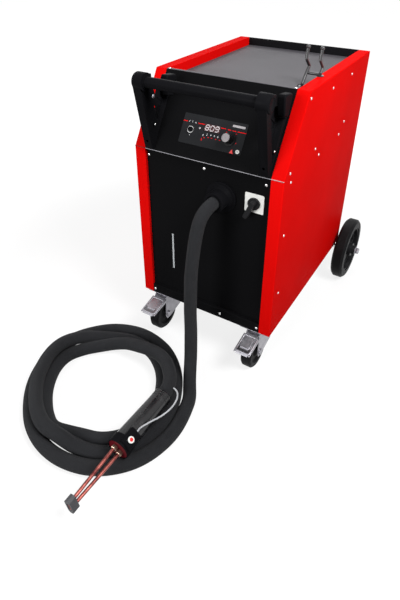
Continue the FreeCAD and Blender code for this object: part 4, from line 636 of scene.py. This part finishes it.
dressed("left_side_panel", RED, 0.0006)
dressed("right_side_panel", RED, 0.0006)
for node in ("front_panel", "control_fascia", "base_pan"):
    dressed(node, BLACK, 0.0005)
dressed("rear_panel", REAR_BLACK, 0.0005)
dressed("top_tray", TRAY, 0.0005)
dressed("tray_mat", MAT, 0.0004)
dressed("control_board", BOARD)
dressed("control_label", LABEL, 0.0001)
dressed("display_window", WINDOW, 0.0003)
dressed("indicator_lamps", LAMP, 0.0002)
dressed("adjust_knob", PLASTIC, 0.0004)
dressed("mode_button", GLOSS, 0.0003)
dressed("power_button", PALE, 0.0003)
dressed("handle_bar", GLOSS, 0.0004)
dressed("hose_outlet", GLOSS, 0.0005)
dressed("switch_plate", PALE, 0.0002)
dressed("switch_body", PLASTIC, 0.0004)
dressed("main_switch_knob", PLASTIC, 0.0004)
dressed("sight_tube", SIGHT, 0.0003)
dressed("coolant_tank", TANK, 0.002)
dressed("coolant_pump", PLASTIC, 0.001)
dressed("inverter_module", ALUMINIUM, 0.001)
dressed("output_transformer", PLASTIC, 0.001)
dressed("fan_frame", PLASTIC, 0.0005)
dressed("fan_rotor", PLASTIC, 0.0004)
dressed("radiator", ALUMINIUM)
dressed("mains_gland", PLASTIC, 0.0004)
dressed("torch_rest", ROD)


# Handle, whose cheeks dip between the bar's knuckle and the rear lug

SIDES = (("left", -1), ("right", 1))
BAR_MIDDLE = (-0.063, 0.747)
KNUCKLE_SEAT = 0.1435
KNUCKLE = [(0, -4.6), (20.6, -4.6), (20.6, 19), (18.6, 22.6), (14, 24), (13, 23.2), (0, 23.2)]
NOTCH = [(-35, 733), (-24, 702), (24, 694), (70, 712), (70, 775), (-40, 775)]
NOTCH_SPAN = (130, 180)
LUG = [(-6, 705), (17, 699), (32, 742), (27, 748), (-6, 752), (-10, 744)]
LUG_SPANS = {"left": (-139, -120), "right": (154, 172)}
INFILL = [(-48, 711), (-47, 688), (32, 668), (40, 722), (-12, 722), (-22, 710)]
INFILL_SPAN = (144.5, 147.5)
INFILL_BOLT = [(0, -1), (5.2, -1), (5.2, 1.2), (4.2, 2.6), (2.4, 3.2), (0, 3.4)]
INFILL_BOLT_PLACE = (-0.0335, 0.707)
for name, side in SIDES:
    outward = (side, 0, 0)
    inward = (-side, 0, 0)
    cutter = slab("notch", NOTCH, side * NOTCH_SPAN[0], side * NOTCH_SPAN[1], GLOSS)
    dressed("handle_cheek_" + name, GLOSS, 0.0012, carve=cutter)
    bpy.data.objects.remove(cutter)
    knuckle_seat = (side * KNUCKLE_SEAT, *BAR_MIDDLE)
    turned("handle_knuckle_" + name, KNUCKLE, ROUND, GLOSS, knuckle_seat, outward, "cabinet")
    slab("handle_lug_" + name, LUG, *LUG_SPANS[name], GLOSS, 0.003)
    slab("handle_infill_" + name, INFILL, side * INFILL_SPAN[0], side * INFILL_SPAN[1], GLOSS, 0.0005)
    bolt_seat = (side * INFILL_SPAN[0] * MM, *INFILL_BOLT_PLACE)
    turned("infill_bolt_" + name, INFILL_BOLT, SMALL_ROUND, ZINC, bolt_seat, inward, "cabinet")

# The strips along the knee of the control face and the front of the tray
FACE_HALF = 168
PANEL_HALF = 199.5
KNEE_HIGHLIGHT = [(-43.9, 577.3), (-42.6, 577.3), (-42.6, 578.5), (-43.9, 578.5)]
KNEE_STRIP = [(-43.5, 577.6), (-42.4, 577.6), (-42.2, 578.5), (-43.2, 578.6)]
TRAY_LIP = [(60.5, 746.6), (68.5, 746.6), (68.5, 747.6), (60.5, 747.6)]
# Painted highlight: this zinc strip along the knee of the control face stands in for the bright highlight on
# the fold
slab("face_trim", KNEE_HIGHLIGHT, -FACE_HALF, FACE_HALF, ZINC)
# A thin dark strip across the left flange at the knee
slab("knee_seam_left", KNEE_STRIP, -PANEL_HALF, -FACE_HALF, HUB)
# Painted highlight: this grey strip carries the knee's bright highlight on across the right flange
slab("knee_seam_right", KNEE_STRIP, FACE_HALF, PANEL_HALF, GREY)
slab("tray_lip", TRAY_LIP, -FACE_HALF, FACE_HALF, MAT, 0.0003)


# Wheels

dressed("rear_axle", STEEL, 0.0004)
dressed("axle_brackets", ZINC, 0.0005)
dressed("axle_caps", HUB, 0.0004)
for side in ("left", "right"):
    dressed("rear_hub_" + side, HUB, 0.0005)
    dressed("rear_tyre_" + side, TYRE, 0.0008)
    dressed("caster_plate_" + side, ZINC, 0.0004)
    dressed("caster_fork_" + side, ZINC, 0.0004)
    dressed("caster_wheel_" + side, TYRE, 0.0005)
    dressed("brake_pedal_" + side, ZINC, 0.0004)

AXLE_MIDDLE = (0.52, 0.102)
AXLE_WASHER = [(0, -1), (13, -1), (13, 1), (12.4, 1.6), (0, 1.6)]
WASHER_SEAT = 0.262
AXLE_NUT = [(0, 0), (8.6, 0), (9.6, 1.2), (9.6, 8.8), (8.6, 10), (0, 10)]
NUT_SEAT = 0.2636
PEDAL_SLOPE = math.atan2(13.4, 59.9)
PEDAL_ACROSS = 0.151
PEDAL_MIDDLE = (-0.072, 0.1052)
# Rounded boxes (width, length, corner) and the heights of their loops, in millimetres
PEDAL_BEAD = [((43, 58, 7), -0.5), ((43, 58, 7), 0.9), ((41, 56, 6), 1.7),
              ((37, 52, 5), 1.7), ((35, 50, 4), 0.9), ((35, 50, 4), -0.5)]
# A flat dark patch inside the bead, painted shade for the pedal's recess
PEDAL_SHADE_PATCH = [((35.5, 50.5, 4), -0.3), ((35.5, 50.5, 4), 0.35), ((25, 35, 2), 0.35), ((25, 35, 2), -0.3)]
CORNER_STEPS = 4


def rounded(width, length, corner):
    """The corners of a rounded rectangle about its middle."""
    points = []
    for turn, (across, along) in enumerate(((1, 1), (-1, 1), (-1, -1), (1, -1))):
        for step in range(CORNER_STEPS + 1):
            angle = math.radians(90 * turn + 90 * step / CORNER_STEPS)
            points.append((across * (width / 2 - corner) + corner * math.cos(angle),
                           along * (length / 2 - corner) + corner * math.sin(angle)))
    return points


def ringed(name, loops, finish, seat, body):
    """A closed rim through loops of (rounded box, height) in millimetres, laid on a seat."""
    shape = bmesh.new()
    rings = []
    for box, height in loops:
        rings.append([shape.verts.new((x * MM, y * MM, height * MM)) for x, y in rounded(*box)])
    for low, high in zip(rings, rings[1:] + rings[:1]):
        join_loops(shape, low, high)
    bmesh.ops.recalc_face_normals(shape, faces=shape.faces)
    shape.transform(seat)
    piece = mesh_piece(name, shape, finish, PIECE_SHADE_ANGLE)
    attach(piece, body)


for name, side in SIDES:
    outward = (side, 0, 0)
    washer_seat = (side * WASHER_SEAT, *AXLE_MIDDLE)
    turned("axle_washer_" + name, AXLE_WASHER, SMALL_ROUND, ZINC, washer_seat, outward, "cabinet")
    nut_seat = (side * NUT_SEAT, *AXLE_MIDDLE)
    turned("axle_nut_" + name, AXLE_NUT, HEXAGON, ZINC, nut_seat, outward, "cabinet")
    pedal_middle = (side * PEDAL_ACROSS, *PEDAL_MIDDLE)
    seat = Matrix.Translation(pedal_middle) @ Matrix.Rotation(PEDAL_SLOPE, 4, "X")
    ringed("pedal_bead_" + name, PEDAL_BEAD, ZINC, seat, "brake_" + name)
    # Painted shade: the dark patch inside the bead stands in for the shade in the pedal's recess
    ringed("pedal_well_" + name, PEDAL_SHADE_PATCH, PEDAL_SHADE_STEEL, seat, "brake_" + name)


# Torch

TORCH_ROLL = 42
TORCH_TURN = Matrix.Rotation(math.radians(TORCH_ROLL), 3, "Y")


def on_torch(out, back, up):
    """A point on the torch, from millimetres out and up from its axis and back from its tail."""
    return Vector(TORCH_TAIL) + TORCH_TURN @ Vector((out * MM, back * MM, up * MM))


FORWARD = (0, -1, 0)
NUT = [(0, 0), (7, 0), (7.9, 0.9), (7.9, 8.5), (7, 9.3), (0, 9.3)]
NUT_BACK = -173
NUT_OUT = 8
BUTTON_DOT = [(0, 0), (4.3, 0), (4.3, 0.3), (3.6, 0.6), (0, 0.6)]
BUTTON_UP = TORCH_TURN @ Vector((0, 0, 1))
BUTTON_TOP = (0, -154, 37.3)
torch = [
    dressed("torch_boot", GRIP, 0.0003),
    dressed("torch_grip", GRIP, 0.0003),
    dressed("torch_collar", GLOSS, 0.0003),
    dressed("torch_face", DISC, 0.0003),
    turned("tube_nut_inner", NUT, HEXAGON, BRASS, on_torch(-NUT_OUT, NUT_BACK, 0), FORWARD, "cabinet"),
    turned("tube_nut_outer", NUT, HEXAGON, BRASS, on_torch(NUT_OUT, NUT_BACK, 0), FORWARD, "cabinet"),
    dressed("torch_switch_housing", GLOSS, 0.0006),
    dressed("torch_button", PALE, 0.0004),
    turned("button_dot", BUTTON_DOT, SMALL_ROUND, SIGNAL_RED, on_torch(*BUTTON_TOP), BUTTON_UP, "trigger"),
    dressed("torch_lead", LEAD),
    dressed("copper_coil", COPPER),
    dressed("ferrite_core", FERRITE, 0.0006),
]


# Small fasteners and print

CROSS_SIZE = (0.5, 0.11, 0.22)
CROSS_HEIGHT = 0.22
RIVET_SIDES = 20
RIVET_SHADE_ANGLE = 50


def screw_head(finish):
    """A domed head one metre wide with a cross recess, to be scaled."""
    dome = [(0, -0.1), (0.5, -0.1), (0.5, 0.04), (0.47, 0.13), (0.36, 0.22), (0.2, 0.27), (0, 0.28)]
    head = mesh_piece("screw_head", lathe(dome, TINY_ROUND), finish, PIECE_SHADE_ANGLE)
    cross = bmesh.new()
    for turn in (0, 90):
        spin = Matrix.Rotation(math.radians(turn), 4, "Z") @ Matrix.Translation((0, 0, CROSS_HEIGHT))
        bmesh.ops.create_cube(cross, size=1.0, matrix=spin @ Matrix.Diagonal((*CROSS_SIZE, 1)))
    cutter = mesh_piece("screw_cross", cross, finish)
    recess = head.modifiers.new("recess", "BOOLEAN")
    recess.object = cutter
    recess.solver = "EXACT"
    recess.use_self = True
    head = fixed(head)
    bpy.data.objects.remove(cutter)
    return head


def rivet_head(finish):
    """A flat domed head one metre wide, to be scaled."""
    dome = [(0, -0.1), (0.5, -0.1), (0.5, 0.02), (0.44, 0.11), (0.3, 0.18), (0.13, 0.21), (0, 0.215)]
    return mesh_piece("rivet_head", lathe(dome, RIVET_SIDES), finish, RIVET_SHADE_ANGLE)


def head_tree():
    """Heads set on points, each turned at random about the way it faces."""
    tree = bpy.data.node_groups.new("heads_on_points", "GeometryNodeTree")
    sockets = {}
    for name, kind in (("Points", "Geometry"), ("Head", "Object"), ("Head Width", "Float"),
                       ("Turn Seed", "Int"), ("Finish", "Material")):
        sockets[name] = tree.interface.new_socket(name=name, in_out="INPUT", socket_type="NodeSocket" + kind)
    tree.interface.new_socket(name="Geometry", in_out="OUTPUT", socket_type="NodeSocketGeometry")
    given = tree.nodes.new("NodeGroupInput")
    info = tree.nodes.new("GeometryNodeObjectInfo")
    outward = tree.nodes.new("GeometryNodeInputNamedAttribute")
    outward.data_type = "FLOAT_VECTOR"
    outward.inputs["Name"].default_value = "outward"
    align = tree.nodes.new("FunctionNodeAlignRotationToVector")
    align.axis = "Z"
    chance = tree.nodes.new("FunctionNodeRandomValue")
    chance.data_type = "FLOAT"
    chance.inputs["Max"].default_value = 2 * math.pi
    spin = tree.nodes.new("FunctionNodeAxisAngleToRotation")
    spin.inputs["Axis"].default_value = (0.0, 0.0, 1.0)
    swung = tree.nodes.new("FunctionNodeRotateRotation")
    swung.rotation_space = "LOCAL"
    spread = tree.nodes.new("GeometryNodeInstanceOnPoints")
    real = tree.nodes.new("GeometryNodeRealizeInstances")
    painted = tree.nodes.new("GeometryNodeSetMaterial")
    result = tree.nodes.new("NodeGroupOutput")
    joins = [
        (given.outputs["Head"], info.inputs["Object"]),
        (outward.outputs["Attribute"], align.inputs["Vector"]),
        (given.outputs["Turn Seed"], chance.inputs["Seed"]),
        (chance.outputs["Value"], spin.inputs["Angle"]),
        (align.outputs["Rotation"], swung.inputs["Rotation"]),
        (spin.outputs["Rotation"], swung.inputs["Rotate By"]),
        (given.outputs["Points"], spread.inputs["Points"]),
        (info.outputs["Geometry"], spread.inputs["Instance"]),
        (swung.outputs["Rotation"], spread.inputs["Rotation"]),
        (given.outputs["Head Width"], spread.inputs["Scale"]),
        (spread.outputs["Instances"], real.inputs["Geometry"]),
        (real.outputs["Geometry"], painted.inputs["Geometry"]),
        (given.outputs["Finish"], painted.inputs["Material"]),
        (painted.outputs["Geometry"], result.inputs["Geometry"]),
    ]
    for start, end in joins:
        tree.links.new(start, end)
    return tree, sockets


HEADS, HEAD_SOCKETS = head_tree()


def heads_at(name, places, head, width, seed):
    """Screws or rivets at (point, outward) places, as one piece."""
    points = bpy.data.meshes.new(name)
    points.from_pydata([place[0] for place in places], [], [])
    outward = points.attributes.new("outward", "FLOAT_VECTOR", "POINT")
    for index, place in enumerate(places):
        outward.data[index].vector = place[1]
    holder = link(name, points)
    spread = holder.modifiers.new("heads", "NODES")
    spread.node_group = HEADS
    for socket, value in (("Head", head), ("Head Width", width), ("Turn Seed", seed), ("Finish", STEEL)):
        spread[HEAD_SOCKETS[socket].identifier] = value
    piece = fixed(holder)
    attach(piece, "cabinet")


SLOPE_RUN = 0.104
SLOPE_RISE = 0.169
SLOPE = math.hypot(SLOPE_RUN, SLOPE_RISE)
KNEE = Vector((0.0, -0.043, 0.578))
UP_SLOPE = Vector((0.0, SLOPE_RUN / SLOPE, SLOPE_RISE / SLOPE))
OFF_SLOPE = Vector((0.0, -SLOPE_RISE / SLOPE, SLOPE_RUN / SLOPE))


def on_slope(across, up, off=0.0):
    """A point of the control face, from millimetres across, up and off it."""
    return KNEE + Vector((across * MM, 0.0, 0.0)) + UP_SLOPE * (up * MM) + OFF_SLOPE * (off * MM)


def printed(name, outlines, finish, low, high):
    """Flat print on the control face, from outlines in millimetres."""
    shape = bmesh.new()
    for outline in outlines:
        under = [shape.verts.new(on_slope(across, up, low)) for across, up in outline]
        over = [shape.verts.new(on_slope(across, up, high)) for across, up in outline]
        fill_between(shape, under, over)
    bmesh.ops.recalc_face_normals(shape, faces=shape.faces)
    piece = mesh_piece(name, shape, finish)
    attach(piece, "cabinet")


def bar(left, right, middle, width):
    return [(left, middle - width / 2), (right, middle - width / 2),
            (right, middle + width / 2), (left, middle + width / 2)]


def band(centre, radius, start, end, width, steps=10):
    """An arc of print round a centre, by angles in degrees."""
    inner, outer = [], []
    for index in range(steps + 1):
        angle = math.radians(start + (end - start) * index / steps)
        for ring, reach in ((inner, radius - width / 2), (outer, radius + width / 2)):
            ring.append((centre[0] + reach * math.cos(angle), centre[1] + reach * math.sin(angle)))
    return outer + list(reversed(inner))


def seven_segments(left, foot, width, height, stroke, lit):
    """The lit bars of one digit: a top, b and c right, d foot, e and f left, g middle."""
    right = left + width
    middle = foot + height / 2
    roof = foot + height
    gap = stroke * 0.18
    half = stroke / 2
    tip = half + gap
    lean = 0.12

    def level(centre):
        return [(left + gap, centre), (left + tip, centre + half), (right - tip, centre + half),
                (right - gap, centre), (right - tip, centre - half), (left + tip, centre - half)]

    def upright(centre, low, high):
        return [(centre, low + gap), (centre + half, low + tip), (centre + half, high - tip),
                (centre, high - gap), (centre - half, high - tip), (centre - half, low + tip)]

    bars = {
        "a": level(roof), "g": level(middle), "d": level(foot),
        "b": upright(right, middle, roof), "c": upright(right, foot, middle),
        "f": upright(left, middle, roof), "e": upright(left, foot, middle),
    }
    return [[(across + lean * (up - foot), up) for across, up in bars[name]] for name in lit]


LETTER_SHARE = 1.4
NUMBER_GAUGE = 0.00004
NUMBER_WELD = 0.000001


def numbers(name, entries, height):
    """Small numbers on the control face: (text, across, up) in millimetres."""
    shape = bmesh.new()
    turn = Matrix((Vector((1, 0, 0)), UP_SLOPE, OFF_SLOPE)).transposed().to_4x4()
    for text, across, up in entries:
        curve = bpy.data.curves.new("number", "FONT")
        curve.body = text
        curve.size = height * MM * LETTER_SHARE
        curve.align_x = "CENTER"
        curve.align_y = "CENTER"
        curve.extrude = NUMBER_GAUGE
        holder = link("number", curve)
        graph = bpy.context.evaluated_depsgraph_get()
        mesh = bpy.data.meshes.new_from_object(holder.evaluated_get(graph))
        mesh.transform(Matrix.Translation(on_slope(across, up, NUMBER_TOP)) @ turn)
        shape.from_mesh(mesh)
        bpy.data.objects.remove(holder)
        bpy.data.meshes.remove(mesh)
    bmesh.ops.remove_doubles(shape, verts=shape.verts, dist=NUMBER_WELD)
    piece = mesh_piece(name, shape, WHITE_INK)
    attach(piece, "cabinet")


LABEL_TOP = 0.8
LABEL_UNDER = LABEL_TOP - 0.05
INK_TOP = LABEL_TOP + 0.06
NUMBER_TOP = LABEL_TOP + 0.03
PLATE_TOP = LABEL_TOP + 0.2
BEZEL_TOP = LABEL_TOP + 0.9
WINDOW_TOP = 2.0
LINE_WIDTH = 1.8
RED_LINES = ((-82.8, -71, 85.4), (-42.4, -24.5, 85.3), (18.7, 31.7, 85.2), (36.3, 44.7, 84.6),
             (48.7, 57.6, 84.2), (61.4, 82.8, 84.1))
SCALE_FOOT = bar(-24, -22, 50.5, 5.5)
SCALE_DASH = (3.2, 1.7)
SCALE_PLACES = ((-18.8, 55.4), (-8.4, 57.6), (0.3, 57.6), (11.5, 57.2), (21.7, 57.0))
DIAL_MARK_HALF = 1
DIAL_MARK_WIDTH = 2.0
DIAL_MARKS = ((35.1, 78.2), (60, 78.5), (64.6, 58.0))
SCALE_NUMBERS = [("0", -21.8, 60.5), ("2", -12.2, 63.2), ("4", -1.8, 64.0), ("6", 7.6, 64.0),
                 ("8", 16.8, 63.0)]
SCALE_NUMBER_HEIGHT = 4.6
MODE_NUMBERS = [("1", -56.9, 54.5), ("2", -66, 86), ("3", -58, 86), ("4", -49, 85)]
MODE_NUMBER_HEIGHT = 4.2
BLANK_PLATE = [(46, 93), (77, 93), (77.6, 97.8), (46, 97.8)]
READY_LENS = band((-34, 74.7), 1.2, 0, 360, 2.3, 24)
MODE_BEZEL = band((-58, 67.5), 7.4, 0, 360, 1.5, 40)
DIGIT_LEFT = -20.2
DIGIT_FOOT = 73.6
DIGIT_WIDTH = 8.6
DIGIT_HEIGHT = 11.8
DIGIT_STROKE = 2.2
DIGIT_PITCH = 12.8
DIGIT_BARS = ("abcdefg", "abcdef", "abcdfg")

red_lines = [bar(left, right, middle, LINE_WIDTH) for left, right, middle in RED_LINES]
printed("red_lines", red_lines, RED_INK, LABEL_UNDER, INK_TOP)
dash_length, dash_width = SCALE_DASH
red_scale = [bar(left, left + dash_length, middle, dash_width) for left, middle in SCALE_PLACES]
dial_marks = [bar(spot - DIAL_MARK_HALF, spot + DIAL_MARK_HALF, height, DIAL_MARK_WIDTH)
              for spot, height in DIAL_MARKS]
printed("red_scale", [SCALE_FOOT] + red_scale + dial_marks, RED_INK, LABEL_UNDER, INK_TOP)
numbers("scale_numbers", SCALE_NUMBERS, SCALE_NUMBER_HEIGHT)
numbers("mode_numbers", MODE_NUMBERS, MODE_NUMBER_HEIGHT)
printed("blank_plate", [BLANK_PLATE], BLANK, LABEL_UNDER, PLATE_TOP)
printed("ready_lens", [READY_LENS], BLANK, WINDOW_TOP - 0.1, WINDOW_TOP + 0.1)
printed("mode_bezel", [MODE_BEZEL], STEEL, LABEL_UNDER, BEZEL_TOP)
digits = []
for place, lit in enumerate(DIGIT_BARS):
    left = DIGIT_LEFT + place * DIGIT_PITCH
    digits += seven_segments(left, DIGIT_FOOT, DIGIT_WIDTH, DIGIT_HEIGHT, DIGIT_STROKE, lit)
printed("lit_digits", digits, DIGITS, WINDOW_TOP - 0.05, WINDOW_TOP + 0.05)


def top_of(node):
    """How far a piece stands off the control face, in millimetres."""
    return max((vertex.co - KNEE).dot(OFF_SLOPE) for vertex in frame["nodes"][node].data.vertices) / MM


KNOB_CAP = [(0, -1), (10.8, -1), (10.8, 3.2), (9.9, 4), (0, 4)]
KNOB_DISC = [(0, 3.5), (9.7, 3.5), (9.7, 4.2), (9.2, 4.5), (0, 4.5)]
KNOB_PLACE = (47, 63)
POWER_DOT = [(0, -0.4), (1.9, -0.4), (1.9, 0.15), (0, 0.15)]
POWER_PLACE = (75.7, 40)
knob_seat = on_slope(*KNOB_PLACE, top_of("adjust_knob"))
turned("dial_cap", KNOB_CAP, ROUND, PLASTIC, knob_seat, OFF_SLOPE, "adjust")
turned("dial_disc", KNOB_DISC, ROUND, CAP, knob_seat, OFF_SLOPE, "adjust")
power_seat = on_slope(*POWER_PLACE, top_of("power_button"))
turned("power_dot", POWER_DOT, TINY_ROUND, GREY, power_seat, OFF_SLOPE, "power")

SCREW = screw_head(STEEL)
RIVET = rivet_head(STEEL)
DECK = 131
CABINET_FRONT = -43
SHEET_HALF = 0.2
FRONT_SCREWS = ((-164, 428), (-4, 428), (156, 426))
FRONT_SCREW_BACK = -0.035
SILL_SCREWS = ((-162, 13), (52, 14), (162, 14))
SILL_SCREW_BACK = -0.043
CHEEK_SCREWS = ((-1, -0.0381, 0.6426), (1, -0.0249, 0.6343))
CHEEK_FACES = ((0.137, -1), (0.164, 1))
TRAY_SCREW = (0.1635, 0.0665, 0.747)
SIDE_RIVETS = [(110, 599), (257, 586), (402, 587), (30, 456), (39, 431), (181, 460), (213, 434), (363, 437),
               (395, 463), (30, 297), (32, 126)]

front_screws = []
for spots, back in ((FRONT_SCREWS, FRONT_SCREW_BACK), (SILL_SCREWS, SILL_SCREW_BACK)):
    front_screws += [((across * MM, back, (DECK + up) * MM), FORWARD) for across, up in spots]
heads_at("front_screws", front_screws, SCREW, width=0.0075, seed=3)
cheek_screws = [((side * across, back, up), (side * facing, 0, 0))
                for side, back, up in CHEEK_SCREWS for across, facing in CHEEK_FACES]
heads_at("cheek_screws", cheek_screws, SCREW, width=0.006, seed=5)
across, back, up = TRAY_SCREW
tray_screws = [((side * across, back, up), (0, 0, 1)) for name, side in SIDES]
heads_at("tray_screws", tray_screws, SCREW, width=0.007, seed=9)
for name, side in SIDES:
    rivets = [((side * SHEET_HALF, (back + CABINET_FRONT) * MM, (DECK + up) * MM), (side, 0, 0))
              for back, up in SIDE_RIVETS]
    heads_at("side_rivets_" + name, rivets, RIVET, width=0.0065, seed=7)
bpy.data.objects.remove(SCREW)
bpy.data.objects.remove(RIVET)


# Floor and light

AMBIENT = 0.1
FLOOR_HALF = 6.0
# Each lamp's name, place, aim, size in metres and power in watts
LAMPS = (
    ("key", (-0.7, -2.7, 1.3), (0, 0, 0.45), (1.2, 1.4), 64),
    ("side", (1.25, -0.3, 1.85), (0.1, 0.1, 0.8), (0.8, 0.8), 48),
    ("back", (-1.0, 2.2, 2.1), (0, 0.2, 0.7), (1.6, 1.0), 26),
    ("top", (0.1, 0.2, 2.6), (0, 0.2, 0.7), (1.2, 1.2), 8),
)


def make_floor():
    finish = Finish("studio_floor", (0.3, 0.3, 0.3), 0.7, Specular_IOR_Level=0.0)
    rays = finish.node("ShaderNodeLightPath", {})
    seen = Value(finish, rays.outputs["Is Camera Ray"])
    mirrored = Value(finish, rays.outputs["Is Glossy Ray"])
    through = Value(finish, rays.outputs["Is Transmission Ray"])
    finish.feed("Base Color", finish.blend(finish.noise(2.0), (0.2, 0.2, 0.2), (0.24, 0.24, 0.24)))
    across = finish.axis("X")
    back = finish.axis("Y")
    far = ((across * across + back * back) ** 0.5).ramp(0.8, 1.8)
    finish.feed("Emission Color", finish.blend(far, (0.8, 0.8, 0.8), (1.0, 1.0, 1.0)))
    finish.feed("Emission Strength", (seen + mirrored + through).maths("MINIMUM", 1.0))
    shape = bmesh.new()
    bmesh.ops.create_grid(shape, x_segments=4, y_segments=4, size=FLOOR_HALF)
    floor = mesh_piece("studio_floor", shape, finish.material)


def make_lamp(name, place, aim, size, power):
    data = bpy.data.lights.new(name, "AREA")
    data.shape = "RECTANGLE"
    data.size, data.size_y = size
    data.energy = power
    lamp = bpy.data.objects.new(name, data)
    lamp.location = place
    lamp.rotation_euler = (Vector(aim) - Vector(place)).to_track_quat("-Z", "Y").to_euler()
    bpy.context.scene.collection.objects.link(lamp)


def make_world():
    world = bpy.data.worlds.new("studio")
    world.use_nodes = True
    tree = world.node_tree
    tree.nodes.clear()
    rays = tree.nodes.new("ShaderNodeLightPath")
    seen = rays.outputs["Is Camera Ray"]
    for name in ("Is Glossy Ray", "Is Transmission Ray"):
        most = tree.nodes.new("ShaderNodeMath")
        most.operation = "MAXIMUM"
        tree.links.new(seen, most.inputs[0])
        tree.links.new(rays.outputs[name], most.inputs[1])
        seen = most.outputs[0]
    level = tree.nodes.new("ShaderNodeMapRange")
    level.inputs["To Min"].default_value = AMBIENT
    level.inputs["To Max"].default_value = 1.0
    tree.links.new(seen, level.inputs["Value"])
    light = tree.nodes.new("ShaderNodeBackground")
    light.inputs["Color"].default_value = (1.0, 1.0, 1.0, 1.0)
    tree.links.new(level.outputs["Result"], light.inputs["Strength"])
    result = tree.nodes.new("ShaderNodeOutputWorld")
    tree.links.new(light.outputs["Background"], result.inputs["Surface"])
    bpy.context.scene.world = world


make_floor()
make_world()
for lamp in LAMPS:
    make_lamp(*lamp)
bpy.context.scene.view_settings.view_transform = "Standard"
